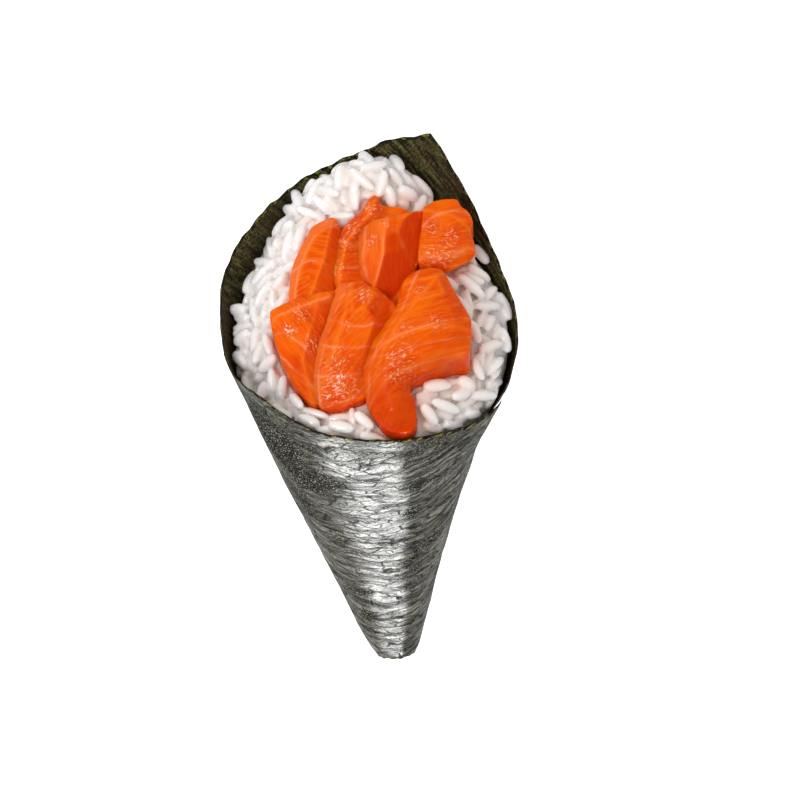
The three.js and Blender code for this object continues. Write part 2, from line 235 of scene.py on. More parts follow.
def blended(tree, share, first, second):
    """Two colours blended by a share."""
    made = node(tree, "ShaderNodeMix", data_type="RGBA", blend_type="MIX")
    for socket, source in ((0, share), (6, first), (7, second)):
        if isinstance(source, bpy.types.NodeSocket):
            tree.links.new(source, made.inputs[socket])
        elif isinstance(source, tuple):
            made.inputs[socket].default_value = (*source, 1)
        else:
            made.inputs[socket].default_value = source
    return made.outputs[2]


def sums(tree, operation, first, second=0.0, third=0.0):
    """A number worked out from others."""
    return node(tree, "ShaderNodeMath", {0: first, 1: second, 2: third}, operation=operation).outputs[0]


def times(tree, first, second):
    return sums(tree, "MULTIPLY", first, second)


def lessened(tree, value, share):
    """The value without its share, from all of it at 0 to none at 1."""
    return times(tree, value, sums(tree, "MULTIPLY_ADD", share, -1.0, 1.0))


def attribute(tree, name):
    return node(tree, "ShaderNodeAttribute", attribute_name=name).outputs["Fac"]


def scaled(tree, vector, scale):
    return node(tree, "ShaderNodeMapping", {"Vector": vector, "Scale": scale}).outputs[0]


def speckle(tree, vector, scale, detail=4.0, roughness=0.55):
    return node(tree, "ShaderNodeTexNoise", {
        "Vector": vector, "Scale": scale, "Detail": detail, "Roughness": roughness}).outputs["Fac"]


def give_relief(tree, shader, height, strength, distance):
    """Fine relief that only the light sees, from a height in the material."""
    bump = node(tree, "ShaderNodeBump", {"Strength": strength, "Distance": distance, "Height": height})
    tree.links.new(bump.outputs[0], shader.inputs["Normal"])


bpy.ops.mesh.primitive_grid_add(x_subdivisions=SHEET_COLUMNS, y_subdivisions=SHEET_ROWS, size=2)
nori = bpy.context.object
nori.name = nori.data.name = "rolled_nori"
flat = (vertex_places(nori) + 1) / 2
turn = flat[:, 0] * SHEET_WRAP
facing_up = np.maximum(0, -np.cos(np.radians(SHEET_INNER_END - turn)))
tip_edge = TIP_CUT + TIP_RISE * facing_up ** 2 + 0.3 * np.sin(turn * 0.31)
rim_edge = rim_height(turn)
rim_edge += RAGGED * rough(np.stack([turn * 0.5, 0 * turn, 0 * turn], 1)) - 0.1
rim_edge += 0.5 * RAGGED * rough(np.stack([turn * 1.3, 0 * turn + 7, 0 * turn], 1))
tip_edge += 0.8 * RAGGED * rough(np.stack([turn * 0.13, 0 * turn + 3, 0 * turn], 1)) + 0.1
height = tip_edge + flat[:, 1] * (rim_edge - tip_edge)
sheet_angle = np.radians((turn - FRONT_TURN) * math.sin(HALF_ANGLE))
sheet_across = height * np.sin(sheet_angle)
sheet_along = height * np.cos(sheet_angle)
tucked = LAYER_PITCH * (1 - smoothstep(turn, CORNER_TURN, CORNER_TURN + LAYER_STEP))
tucked *= 1 - smoothstep(height - curve_through(LONG_EDGE)(turn + 360), 1.5, 9)
wrinkles = rough(np.stack([sheet_across * 0.09, sheet_along * 0.30, 0 * turn], 1))
fine_wrinkles = rough(np.stack([sheet_across * 0.16, sheet_along * 0.62, 0 * turn + 5], 1))
depth = 0.04 + WRINKLE * (1 + wrinkles) / 2 + FINE_WRINKLE * (1 + fine_wrinkles) / 2
radius = wall_radius(height, SHEET_INNER_END - turn) - tucked - depth
move_vertices(nori, laid_down(on_roll(height, radius, SHEET_INNER_END - turn)))
give_numbers(nori, "from_edge", np.minimum.reduce([
    rim_edge - height, height - tip_edge, turn * SIDE_EDGE_PACE, (SHEET_WRAP - turn) * SIDE_EDGE_PACE]))
matt = np.zeros(len(turn))
for across, along, half_across, half_along, share in MATT_SPOTS:
    near = ((sheet_across - across) / half_across) ** 2 + ((sheet_along - along) / half_along) ** 2
    matt = np.maximum(matt, share * np.exp(-near ** 2))
give_numbers(nori, "matt", matt)
corners = np.empty(len(nori.data.loops), np.int32)
nori.data.loops.foreach_get("vertex_index", corners)
sheet_places = np.stack([sheet_across, sheet_along], 1)[corners] / 10
nori.data.uv_layers[0].data.foreach_set("uv", sheet_places.astype(np.float32).ravel())
middle_face = nori.data.polygons[len(nori.data.polygons) // 2]
axis_point = laid_down(np.array([0.0, 0.0, 80.0]))
if (middle_face.center - Vector(axis_point)).dot(middle_face.normal) < 0:
    nori.data.flip_normals()

seaweed = bpy.data.node_groups.new("pressed seaweed", "ShaderNodeTree")
seaweed.interface.new_socket("Fringe Width", in_out="INPUT", socket_type="NodeSocketFloat")
for output in ("Streaks", "Creases", "Grain", "Sparkles", "Specks", "Patches", "Fringe", "Flecks"):
    seaweed.interface.new_socket(output, in_out="OUTPUT", socket_type="NodeSocketFloat")
fringe_width = node(seaweed, "NodeGroupInput").outputs["Fringe Width"]
sheet = node(seaweed, "ShaderNodeUVMap").outputs[0]
warp = speckle(seaweed, scaled(seaweed, sheet, (0.9, 1.4, 1)), 1.0, 3.0)
bent = node(seaweed, "ShaderNodeCombineXYZ", {1: times(seaweed, warp, 0.75)}).outputs[0]
moved = node(seaweed, "ShaderNodeVectorMath", {0: sheet, 1: bent}, operation="ADD").outputs[0]
streaks = speckle(seaweed, scaled(seaweed, moved, (1.1, 8.5, 1)), 1.0, 5.0, 0.66)
creases = []
for stretch, width in (((0.55, 2.6, 1), 0.022), ((1.5, 7.0, 1), 0.035)):
    level = speckle(seaweed, scaled(seaweed, moved, stretch), 1.0, 3.0, 0.5)
    off = sums(seaweed, "ABSOLUTE", sums(seaweed, "SUBTRACT", level, 0.5))
    creases.append(ramp(seaweed, off, [(0.0, 1.0), (width, 0.0)]))
crease = sums(seaweed, "MAXIMUM", creases[0], times(seaweed, creases[1], 0.6))
cells = node(seaweed, "ShaderNodeTexVoronoi", {
    "Vector": scaled(seaweed, moved, (1.7, 6.2, 1)), "Scale": 1.0}, feature="DISTANCE_TO_EDGE",
    voronoi_dimensions="2D").outputs["Distance"]
crease = sums(seaweed, "MAXIMUM", crease, ramp(seaweed, cells, [(0.015, 0.9), (0.075, 0.0)]))
grain = speckle(seaweed, scaled(seaweed, sheet, (15, 22, 1)), 1.0, 3.0, 0.6)
specks = speckle(seaweed, scaled(seaweed, sheet, (17, 30, 1)), 1.0, 1.0)
specks = ramp(seaweed, specks, [(0.60, 0.0), (0.65, 1.0)])
sparkles = speckle(seaweed, scaled(seaweed, sheet, (22, 30, 1)), 1.0, 1.0, 0.7)
sparkles = ramp(seaweed, sparkles, [(0.59, 0.0), (0.65, 1.0)])
patches = speckle(seaweed, scaled(seaweed, moved, (0.7, 1.1, 1)), 1.0, 4.0, 0.6)
reach = times(seaweed, speckle(seaweed, sheet, 11.0, 4.0, 0.65), fringe_width)
fringe = node(seaweed, "ShaderNodeMapRange", {
    0: attribute(seaweed, "from_edge"), 1: 0.0, 2: reach, 3: 1.0, 4: 0.0}).outputs[0]
torn = ramp(seaweed, speckle(seaweed, sheet, 7.0, 3.0, 0.7), [(0.51, 0.0), (0.60, 1.0)])
flecks = times(seaweed, ramp(seaweed, fringe, [(0.30, 0.0), (0.55, 1.0)]), torn)
node(seaweed, "NodeGroupOutput", {
    "Streaks": streaks, "Creases": crease, "Grain": grain, "Sparkles": sparkles, "Specks": specks,
    "Patches": patches, "Fringe": fringe, "Flecks": flecks})


def pressed_seaweed(tree, fringe_width):
    """The shared seaweed pattern, placed in one of the nori's materials."""
    made = node(tree, "ShaderNodeGroup", node_tree=seaweed)
    made.inputs["Fringe Width"].default_value = fringe_width
    return made.outputs


outer_nori, tree, shader = new_material(
    "glossy nori outer face", Specular_IOR_Level=0.02, Coat_Roughness=0.22, Coat_IOR=1.5)
pattern = pressed_seaweed(tree, 2.4)
colour = ramp(tree, pattern["Streaks"], [
    (0.41, (0.004, 0.004, 0.002)), (0.50, (0.032, 0.030, 0.017)), (0.60, (0.18, 0.168, 0.115))])
patches = ramp(tree, pattern["Patches"], [(0.54, 0.0), (0.66, 0.6)])
matt = sums(tree, "MAXIMUM", attribute(tree, "matt"), patches)
colour = blended(tree, sums(tree, "MINIMUM", matt, 0.95), colour, (0.005, 0.005, 0.0015))
# Painted glints: pale sparkles in the colour, more of them in the matt spots.
sparkle = times(tree, pattern["Sparkles"], sums(tree, "MULTIPLY_ADD", matt, 0.75, 0.15))
colour = blended(tree, sparkle, colour, (0.66, 0.64, 0.53))
dark_lines = sums(tree, "MAXIMUM", pattern["Creases"], pattern["Specks"])
colour = blended(tree, times(tree, dark_lines, 0.9), colour, (0.005, 0.005, 0.003))
# Painted shade: nearly black near the cut edges, a dark line along the rim.
edge_painted_shade = ramp(tree, pattern["Fringe"], [(0.10, 0.0), (0.3, 1.0)])
colour = blended(tree, edge_painted_shade, colour, (0.004, 0.003, 0.001))
colour = blended(tree, pattern["Flecks"], colour, (0.30, 0.27, 0.04))
tree.links.new(colour, shader.inputs["Base Color"])
tree.links.new(ramp(tree, pattern["Streaks"], [(0.36, 0.70), (0.66, 0.45)]), shader.inputs["Roughness"])
film = ramp(tree, pattern["Streaks"], [(0.38, 0.30), (0.47, 0.75), (0.55, 1.0)])
film = lessened(tree, film, sums(tree, "MINIMUM", matt, 1.0))
film = sums(tree, "MAXIMUM", film, times(tree, sparkle, 0.6))
film = lessened(tree, lessened(tree, film, dark_lines), pattern["Fringe"])
tree.links.new(film, shader.inputs["Coat Weight"])
relief = sums(tree, "MULTIPLY_ADD", pattern["Grain"], 0.3, pattern["Streaks"])
relief = sums(tree, "MULTIPLY_ADD", dark_lines, -0.25, relief)
give_relief(tree, shader, relief, 1.0, 0.0003)

inner_nori, tree, shader = new_material("matt nori inner face", Roughness=0.55, Specular_IOR_Level=0.15)
pattern = pressed_seaweed(tree, 2.0)
sheet = node(tree, "ShaderNodeUVMap").outputs[0]
mottle = speckle(tree, scaled(tree, sheet, (15.0, 20.0, 1)), 1.0, 4.0, 0.75)
folds = speckle(tree, scaled(tree, sheet, (12.0, 1.3, 1)), 1.0, 4.0, 0.68)
weave = sums(tree, "MULTIPLY_ADD", mottle, 0.45, times(tree, folds, 0.55))
colour = ramp(tree, weave, [
    (0.42, (0.007, 0.006, 0.002)), (0.50, (0.047, 0.040, 0.012)), (0.59, (0.18, 0.155, 0.05))])
brown = ramp(tree, pattern["Patches"], [(0.45, 0.0), (0.62, 0.7)])
colour = blended(tree, brown, colour, (0.040, 0.019, 0.007))
dark_folds = ramp(tree, folds, [(0.38, 0.8), (0.46, 0.0)])
colour = blended(tree, dark_folds, colour, (0.007, 0.006, 0.002))
light_grain = ramp(tree, pattern["Grain"], [(0.57, 0.0), (0.70, 0.6)])
colour = blended(tree, light_grain, colour, (0.16, 0.145, 0.065))
# Painted shade: nearly black near the cut edges, a dark line along the rim.
edge_painted_shade = ramp(tree, pattern["Fringe"], [(0.15, 0.0), (0.4, 1.0)])
colour = blended(tree, edge_painted_shade, colour, (0.010, 0.008, 0.002))
colour = blended(tree, pattern["Flecks"], colour, (0.24, 0.22, 0.03))
tree.links.new(colour, shader.inputs["Base Color"])
relief = sums(tree, "MULTIPLY_ADD", folds, 0.8, sums(tree, "ADD", mottle, pattern["Grain"]))
give_relief(tree, shader, relief, 1.0, 0.0004)

cut_nori, tree, shader = new_material("cut nori edge", Roughness=0.6, Specular_IOR_Level=0.2)
pattern = pressed_seaweed(tree, 1.0)
colour = blended(tree, pattern["Flecks"], (0.010, 0.008, 0.002), (0.075, 0.062, 0.018))
tree.links.new(colour, shader.inputs["Base Color"])

for finish in (outer_nori, inner_nori, cut_nori):
    nori.data.materials.append(finish)
finish_with(nori, "SOLIDIFY", thickness=SHEET_THICKNESS * MM, offset=-1, material_offset=1,
            material_offset_rim=2)
shade_smooth(nori)
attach(nori, "root")
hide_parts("nori")

# Salmon: seven pieces of raw salmon, cut with a knife into thick slanting slices, so that each
# has flat wet facets with soft edges. Pale lines of fat cross the orange flesh, and the pieces
# lie side by side on the rice, the largest curling down over the front of the mouth.
MOUTH_HEIGHT = 133.4
MOUTH_LEAN = math.radians(18)
ACROSS = np.array([-1.0, 0.0, 0.0])
ALONG = np.array([0.0, -math.cos(MOUTH_LEAN), math.sin(MOUTH_LEAN)])
UP = np.cross(ACROSS, ALONG)
CROWN = 1.2
BLOCK_TOP = 10.0
BLOCK_FOOT = -4.0
SUNK = 1.3
VOXEL = 0.26
SWELL = 0.3
OVERLAP = 0.6
GROOVE_DEPTH = 0.35
OUTLINE_POINTS = 90
SOFT_PASSES = 24
HEAP_PASSES = 8
HANG_SHADE = 27.0  # Painted shade: a front end's red darkens by its hang over this.
FAT_SPACING = 6.0
NORI_DEPTH = 0.62  # From the nori's outermost face to just inside its inner one.
# Each piece: its edge and its ridges as places across and along the mouth and heights over it,
# the pale lines of fat in two families, the places and radii of its rough wet spots, which also
# get painted glints, how pale it is outside the second family's line, partly a paler membrane and
# partly painted sheen, how strong the painted shade on its right side is, how far its foot leans
# in at the right front, and where and how far its front end hangs. What most pieces share
# stands first.
PLAIN_CUT = {"rim_fat": [], "pale_rim_and_sheen": 0.0, "lean": [0.0, 0.0], "hang": [0.0, -10.0, 0.0]}
SALMON = {
    "salmon_front_right": {
        "edge": [
            [9.5, 2.7, 5.6], [11.6, 4.3, 5.8], [14.6, 4.9, 5.8], [17, 4.4, 5.6], [18.2, 2.1, 5],
            [19, 0, 4.6], [21.4, -5.5, 4.2], [21.8, -7.7, 4], [21.2, -11.7, 3.4], [20.5, -14.2, 3],
            [17.6, -14.6, 2.8], [14.6, -16.1, 2.6], [11.5, -17.5, 2.4], [9.3, -18.3, 2.2],
            [8, -19.8, 1.8], [8.6, -22.2, 1], [9.1, -25, 0], [8.6, -27.2, -1], [7.1, -28.5, -2],
            [4.6, -28.6, -2.4], [2.3, -27.3, -1.4], [0.4, -24.2, 0.2], [-0.5, -21, 1.6], [-0.5, -17.9, 3],
            [-0.1, -14.6, 3.8], [2, -10.2, 4.4], [3.7, -7.8, 4.8], [6.9, -4, 5.2], [8.5, -0.4, 5.4],
        ],
        "ridges": [
            [[11.7, 2, 7], [16.1, 2.3, 7], [17.2, -1.5, 6.8], [11.5, -2.9, 7.4]],
            [[11.5, -2.9, 7.4], [7.2, -7.8, 7.2], [3.8, -13.2, 6.8], [1.7, -18, 6], [0.7, -21.4, 4.4]],
            [[9.5, -10.1, 8], [14.3, -9.4, 7.8], [19.2, -9.2, 6.4]],
            [[2.2, -21.2, 5.8], [4.8, -18.9, 7], [7.8, -17.5, 7.4], [12.8, -15.7, 7.2], [17.8, -13.9, 6]],
            [[3.9, -23.2, 5.2], [6.8, -22.2, 4.6]], [[4, -26.6, 3.2], [6.9, -26, 2.4]],
        ],
        "fat": [
            [[0, -23.1], [2, -20.8], [4.7, -18.8], [7.4, -17.7], [11.8, -16.3], [17.2, -14.8]],
            [[2.4, -18.3], [6.1, -15.5], [10.6, -13.5], [16, -12.3], [21, -10.8]],
            [[1.8, -13.7], [3.8, -11.7], [7, -10.7], [10.6, -9.8], [15, -8.6], [20.8, -7]],
        ],
        "rim_fat": [[[0, -20.6], [0.7, -16.3], [2.6, -12], [5.1, -8.6], [8.1, -4.6], [10.3, 0]]],
        "glints": [
            [6.8, -15.5, 3.0], [5.3, -18.5, 1.6], [11.9, -0.8, 1.2], [8.3, -9.4, 1.6], [15.0, -8.4, 1.4],
        ],
        "painted_flank_shade": 0.35,
        "hang": [0.0, -30.0, 5.2],
    },
    "salmon_front_middle": {
        "edge": [
            [-5.1, 1.9, 4.8], [-3.3, 3.1, 5.4], [-0.5, 3.1, 5.8], [0.7, 3.4, 6], [2.1, 1.8, 6.2],
            [3.5, 1.4, 6.2], [5.7, -1.3, 5.6], [7.2, -3.3, 4.8], [5.3, -5.5, 4.2], [3.7, -7.3, 3.8],
            [2.1, -11.2, 3.2], [0.5, -15.1, 2.6], [-0.3, -19.5, 1.8], [-1, -21.2, 1.4],
            [-3.5, -21.9, 1.2], [-6, -22.5, 0.8], [-9.3, -22.2, 0.8], [-10.6, -20.3, 1.2],
            [-10.9, -17.3, 1.8], [-10.3, -12.8, 2.4], [-8.9, -8.4, 3.2], [-7.2, -4, 3.8],
        ],
        "ridges": [
            [
                [-1.7, 0.1, 7.6], [2, 0.2, 7.8], [3.4, -0.8, 7.6], [1.2, -3.7, 7.8], [-1.8, -4.3, 7.5],
                [-1.7, 0.1, 7.6],
            ],
            [
                [-3.5, -4.4, 7], [-4.6, -7.8, 6.5], [-6.3, -11.7, 5.8], [-8.2, -15.3, 4.8],
                [-9.5, -19.7, 3],
            ],
            [[2.7, -6.6, 6.9], [0.2, -12.6, 6.2], [-1.7, -17.2, 5], [-3.8, -20.7, 2.8]],
        ],
        "fat": [
            [[-7.3, -21.9], [-3.3, -21.2], [-0.2, -18.5]], [[-10.4, -15.8], [-5.4, -17.5], [0, -16.6]],
            [[-8.9, -8.9], [-6.3, -10.9], [-1.4, -11.9], [2.2, -11.2]],
            [[-5.8, -4.7], [-3.4, -6.8], [0.4, -7.5], [4.8, -6.5]],
        ],
        "rim_fat": [[[-10, -20.5], [-9.9, -16.4], [-8.8, -11.6], [-6.9, -6.7], [-5, -2.4], [-2.8, 1.1]]],
        "glints": [
            [-5.8, -13.9, 2.6], [-6.3, -18.4, 3.0], [-4.7, -19.4, 2.4], [0.9, -0.5, 2.0],
            [-3.1, -6.8, 1.0],
        ],
        "pale_rim_and_sheen": 0.7,
        "painted_flank_shade": 0.8,
        "hang": [0.0, -23.0, 2.6],
    },
    "salmon_front_left": {
        "edge": [
            [-18.5, -0.9, 3.4], [-17.3, 0, 4], [-12.8, 1, 5], [-8.7, 1.6, 5.6], [-5.2, 1.6, 5.6],
            [-6.3, -0.7, 4.8], [-7.9, -4.6, 4], [-9.5, -8.4, 3.2], [-10.5, -13.9, 2.4],
            [-10.3, -20.7, 1.4], [-11.4, -21, 1.2], [-13.4, -18.6, 1.6], [-15.3, -15.3, 2],
            [-16.5, -12.2, 2.4], [-17.8, -6.7, 2.8],
        ],
        "ridges": [
            [[-17.5, -2.7, 5], [-12.8, -1.1, 5.8], [-8.8, -0.2, 6.2], [-6.1, 0.3, 6.2]],
            [[-10.8, -6.4, 5], [-12.7, -12.4, 4.2], [-11.9, -18.7, 2.6]],
        ],
        "fat": [
            [[-17.5, -9.8], [-14.4, -14.2], [-11.1, -17.9]],
            [[-17.7, -5.7], [-15.7, -5.7], [-13, -8.9], [-10.2, -12.1]],
            [[-17.9, -2.6], [-12.8, -1.1], [-8.8, -0.2], [-5.9, 0.4]],
        ],
        "glints": [[-12.5, -2.6, 1.6], [-10.3, -8.7, 1.8], [-14.8, -5.9, 1.2]],
        "painted_flank_shade": 0.6,
        "hang": [0.0, -21.0, 3.0],
    },
    "salmon_centre": {
        "edge": [
            [0.5, 9.3, 4.4], [1, 13.5, 5], [1.4, 16.1, 5.8], [4.3, 16.9, 6.4], [6.8, 17.1, 6.8],
            [10.8, 17.7, 6.6], [12.8, 18.3, 6.2], [14.9, 18.3, 5.4], [14.1, 15.7, 4.6], [13.3, 11.1, 3.8],
            [11.7, 6.6, 3.2], [9.3, 2.6, 2.8], [7.1, -1.4, 2.4], [4.2, -0.1, 2.6], [1.6, 4.1, 3.6],
            [0.5, 5.6, 4],
        ],
        "ridges": [
            [[6.7, 15.8, 7.9], [6.1, 12.4, 7.9], [5.5, 8.1, 7.7], [4.3, 4.7, 7], [3.1, 2.1, 6]],
            [[10.7, 16.6, 7.4], [9.2, 13.3, 7.2], [10.2, 9.7, 6], [11.8, 7.1, 4.2]],
        ],
        "fat": [
            [[2.2, 14.6], [1.4, 9.3], [1.7, 4.4]],
            [[6.7, 15.8], [7.6, 14.2], [9.2, 13.1], [10.2, 10.4], [12, 7.3]],
        ],
        "rim_fat": [[[6.7, 15.8], [6, 12.5], [5.5, 8.1], [4.2, 4.3]]],
        "glints": [[6.5, 15.4, 1.0], [3.3, 12.5, 1.4]],
        "pale_rim_and_sheen": 0.25,
        "painted_flank_shade": 1.0,
    },
    "salmon_back_right": {
        "edge": [
            [15.0, 18.6, 6.0], [15.6, 19.6, 5.8], [17.9, 20.7, 5.6], [21.5, 20.7, 5.2], [22.2, 19.2, 5],
            [23.6, 18.1, 4.6], [24.4, 15.9, 4.2], [23.7, 14.1, 4], [24.2, 11.3, 3.4], [24.3, 9, 3],
            [22.7, 7.4, 2.8], [19.5, 6.1, 2.4], [18.1, 5.8, 2.2], [16.3, 6.4, 2.6], [13.0, 7.3, 4.0],
            [13.0, 9.1, 5.2], [14.0, 13.5, 6.0],
        ],
        "ridges": [
            [[13.9, 8.1, 5.4], [16.8, 7.5, 6.2], [19.8, 8, 6.2], [23.2, 9.5, 5]],
            [[17, 17.8, 6.3], [20.6, 16.7, 6.3], [22.8, 14.8, 5.6]],
        ],
        "fat": [
            [[13.8, 7.8], [16.8, 7.2], [19.8, 7.7], [23.8, 9.3]],
            [[15, 15.6], [17.2, 17.2], [20.7, 18], [23.1, 17.7]],
        ],
        "glints": [
            [15.2, 8.3, 1.8], [17.8, 8.0, 2.2], [20.0, 11.9, 1.6], [16.3, 14.1, 1.6], [18.8, 9.8, 1.6],
        ],
        "painted_flank_shade": 0.15,
        "lean": [-2.0, 4.5],
    },
    "salmon_back_left": {
        "edge": [
            [-14.2, 2.3, 2.8], [-14.1, 5, 2.8], [-13.3, 9.2, 3.2], [-11.5, 12.8, 3.6], [-9.5, 16, 4.4],
            [-8.2, 17.8, 4.8], [-4.8, 19, 5.4], [-3.9, 18.9, 5.4], [-3, 16.3, 5.2], [-3.5, 12.5, 4.6],
            [-4.4, 8.4, 4], [-5.2, 3.8, 3.4], [-5.3, 0.7, 3], [-10.6, -1, 3],
        ],
        "ridges": [
            [[-4.6, 16.3, 6.6], [-6.5, 9.5, 6.6], [-8.8, 4, 5.8], [-10.9, 0.3, 4.8]],
            [[-12.4, 6, 4.8], [-10.3, 11.6, 5.4], [-8, 15.1, 5.8], [-4.9, 16.7, 6.4]],
        ],
        "fat": [[[-12.2, 8.9], [-9.6, 9.6], [-7.2, 8.5], [-4.5, 7.1]]],
        "rim_fat": [[[-13.1, 3.7], [-12.3, 7.8], [-10.2, 12], [-8.2, 15.2], [-4.9, 16.7]]],
        "glints": [[-6.3, 19.4, 1.2]],
        "pale_rim_and_sheen": 0.9,
        "painted_flank_shade": 0.6,
    },
    "salmon_behind": {
        "edge": [
            [-4.2, 10.1, 4], [-2.9, 14.8, 4.8], [-1.8, 16.8, 5.2], [2.1, 19.7, 5.8], [4, 22.3, 6.4],
            [5.6, 22.9, 6.4], [5.9, 20.7, 5.8], [7.5, 20.6, 5.2], [11.3, 19.3, 5], [10.7, 17.2, 4.6],
            [6.6, 15.9, 4.6], [2, 14.8, 4.4], [1.3, 9.4, 4.2], [1.1, 4, 3.8], [-3.9, 3.1, 3.4],
            [-4.8, 6.4, 3.6],
        ],
        "ridges": [
            [
                [4.7, 20.6, 7.1], [2.9, 17.6, 6.9], [0.8, 15.6, 6.7], [-1.9, 12.2, 6.3], [-3.5, 7.5, 5.4],
                [-4.1, 4.7, 4.6],
            ],
        ],
        "fat": [[[-4.2, 7], [-1.5, 7.3], [1.2, 7.9]], [[-2.2, 13], [-0.6, 11.8], [1.6, 12.6]]],
        "glints": [[3.7, 19.9, 2.0], [-0.1, 16.3, 2.0], [-2.5, 12.3, 2.0], [-4.0, 7.4, 1.8]],
        "painted_flank_shade": 0.6,
    },
}


def on_mouth(places):
    """From places across, along and over the mouth to places about the roll's own axis."""
    across, along, up = places[:, :1], places[:, 1:2], places[:, 2:3]
    return np.array([0.0, 0.0, MOUTH_HEIGHT]) + across * ACROSS + along * ALONG + up * UP


def mound_height(across, along):
    """The rice's height over the mouth plane, away from its wall."""
    saddle = np.where(across < 0, 0.0125, 0.0105) * across ** 2
    hill = 9.5 * np.exp(-((across - 2.5) / 15) ** 2 - ((along - 30.5) / 8) ** 2)
    return CROWN - saddle + hill


def round_loop(edge, steps):
    """Evenly spaced points on a smooth closed curve through the edge's points."""
    points = np.array(edge, float)[:, :2]
    before, after, later = np.roll(points, 1, 0), np.roll(points, -1, 0), np.roll(points, -2, 0)
    share = np.linspace(0, 1, 16, endpoint=False)[:, None, None]
    curve = points + share * (after - before) / 2
    curve = curve + share ** 2 * (before - 2.5 * points + 2 * after - later / 2)
    curve = curve + share ** 3 * (1.5 * points - before / 2 - 1.5 * after + later / 2)
    curve = curve.transpose(1, 0, 2).reshape(-1, 2)
    closed = np.vstack([curve, curve[:1]])
    lengths = np.concatenate([[0], np.cumsum(np.linalg.norm(np.diff(closed, axis=0), axis=1))])
    stops = np.linspace(0, lengths[-1], steps, endpoint=False)
    return np.stack([np.interp(stops, lengths, closed[:, axis]) for axis in (0, 1)], 1)


def facet_heights(places, edge, ridges):
    """Height of the cut surface at each place, in flat facets between the edge and the ridges."""
    corners, joins = [], []
    for line in [edge, *ridges]:
        first = len(corners)
        corners += line
        joins += [(first + step, first + step + 1) for step in range(len(line) - 1)]
    flat_corners = [Vector(corner[:2]) for corner in corners]
    found, _, facets, origins, _, _ = delaunay_2d_cdt(flat_corners, joins, [], 0, 0.01)
    known = np.array(corners)
    heights = []
    for spot, sources in zip(found, origins):
        if sources:
            heights.append(np.mean([corners[source][2] for source in sources]))
        else:
            near = np.linalg.norm(known[:, :2] - np.array(spot), axis=1)
            heights.append(known[np.argsort(near)[:2], 2].mean())
    best = np.full(len(places), -np.inf)
    result = np.zeros(len(places))
    for facet in facets:
        a, b, c = (np.array(found[corner]) for corner in facet)
        span = np.linalg.det([b - a, c - a])
        if abs(span) < 1e-9:
            continue
        offset = places[:, :2] - a
        share_b = (offset[:, 0] * (c - a)[1] - offset[:, 1] * (c - a)[0]) / span
        share_c = (offset[:, 1] * (b - a)[0] - offset[:, 0] * (b - a)[1]) / span
        shares = np.stack([1 - share_b - share_c, share_b, share_c])
        inside = shares.min(0)
        level = np.clip(shares, 0, 1)
        level = (level / level.sum(0) * np.array([heights[corner] for corner in facet])[:, None]).sum(0)
        better = inside > best
        best[better], result[better] = inside[better], level[better]
    return result


def line_distance(places, line):
    """Signed distance from a line, and how far along it the nearest point is."""
    best = np.full(len(places), np.inf)
    signed, along = np.zeros(len(places)), np.zeros(len(places))
    reached = 0.0
    points = np.array(line, float)
    for step, (start, end) in enumerate(zip(points[:-1], points[1:])):
        run = end - start
        length = np.linalg.norm(run)
        offset = places[:, :2] - start
        travel = offset @ run / length
        low = -np.inf if step == 0 else 0.0
        high = np.inf if step == len(points) - 2 else length
        nearest = np.clip(travel, low, high)
        side = (run[0] * offset[:, 1] - run[1] * offset[:, 0]) / length
        away = np.hypot(side, travel - nearest)
        better = away < best
        best[better] = away[better]
        signed[better] = (np.sign(side) * away)[better]
        along[better] = (reached + nearest)[better]
        reached += length
    return signed, along


def fat_layers(places, lines):
    """Whole numbers on the lines, changing evenly between them, and places along the lines."""
    if not lines:
        return np.full(len(places), 0.5), places[:, 0], places[:, 1]
    measured = [line_distance(places, line) for line in lines]
    signed = np.array([distance for distance, _ in measured])
    beyond = len(lines) - 1 + signed[-1] / FAT_SPACING
    layer = np.where(signed[0] < 0, signed[0] / FAT_SPACING, beyond)
    for step in range(len(lines) - 1):
        between = (signed[step] >= 0) & (signed[step + 1] < 0)
        share = signed[step] / np.maximum(signed[step] - signed[step + 1], 1e-6)
        layer = np.where(between, step + share, layer)
    return np.clip(layer, -0.5, len(lines) - 0.5), signed[0], measured[0][1]


def grown(edge, grow):
    """A closed edge moved outward, with its heights kept."""
    points = np.array(edge, float)
    later = np.roll(points, -1, 0)
    ahead = (later - np.roll(points, 1, 0))[:, :2]
    outward = np.stack([ahead[:, 1], -ahead[:, 0]], 1) / np.linalg.norm(ahead, axis=1)[:, None]
    turning = np.sum(points[:, 0] * later[:, 1] - points[:, 1] * later[:, 0])
    points[:, :2] += outward * grow * np.sign(turning)
    return points.tolist()


def turn_faces_out(piece):
    pick(piece)
    bpy.ops.object.mode_set(mode="EDIT")
    bpy.ops.mesh.select_all(action="SELECT")
    bpy.ops.mesh.normals_make_consistent(inside=False)
    bpy.ops.object.mode_set(mode="OBJECT")
    piece.select_set(False)


def knife_block(name, edge, taller=0.0):
    """A straight block with the outline of a piece, in millimetres over the mouth plane."""
    loop = round_loop(edge, OUTLINE_POINTS)
    top, foot = BLOCK_TOP + taller, BLOCK_FOOT - taller
    bpy.ops.mesh.primitive_circle_add(vertices=len(loop), fill_type="NGON")
    block = bpy.context.object
    block.name = block.data.name = name
    move_vertices(block, np.column_stack([loop, np.full(len(loop), top)]))
    bpy.ops.object.mode_set(mode="EDIT")
    bpy.ops.mesh.select_all(action="SELECT")
    bpy.ops.mesh.extrude_region_move(TRANSFORM_OT_translate={"value": (0, 0, foot - top)})
    bpy.ops.object.mode_set(mode="OBJECT")
    turn_faces_out(block)
    return block


def doubled(angle):
    """How far the sheet lies double at an angle, from 0 to 1."""
    return smoothstep(angle, 5, 30) * (1 - smoothstep(angle, 150, 160))


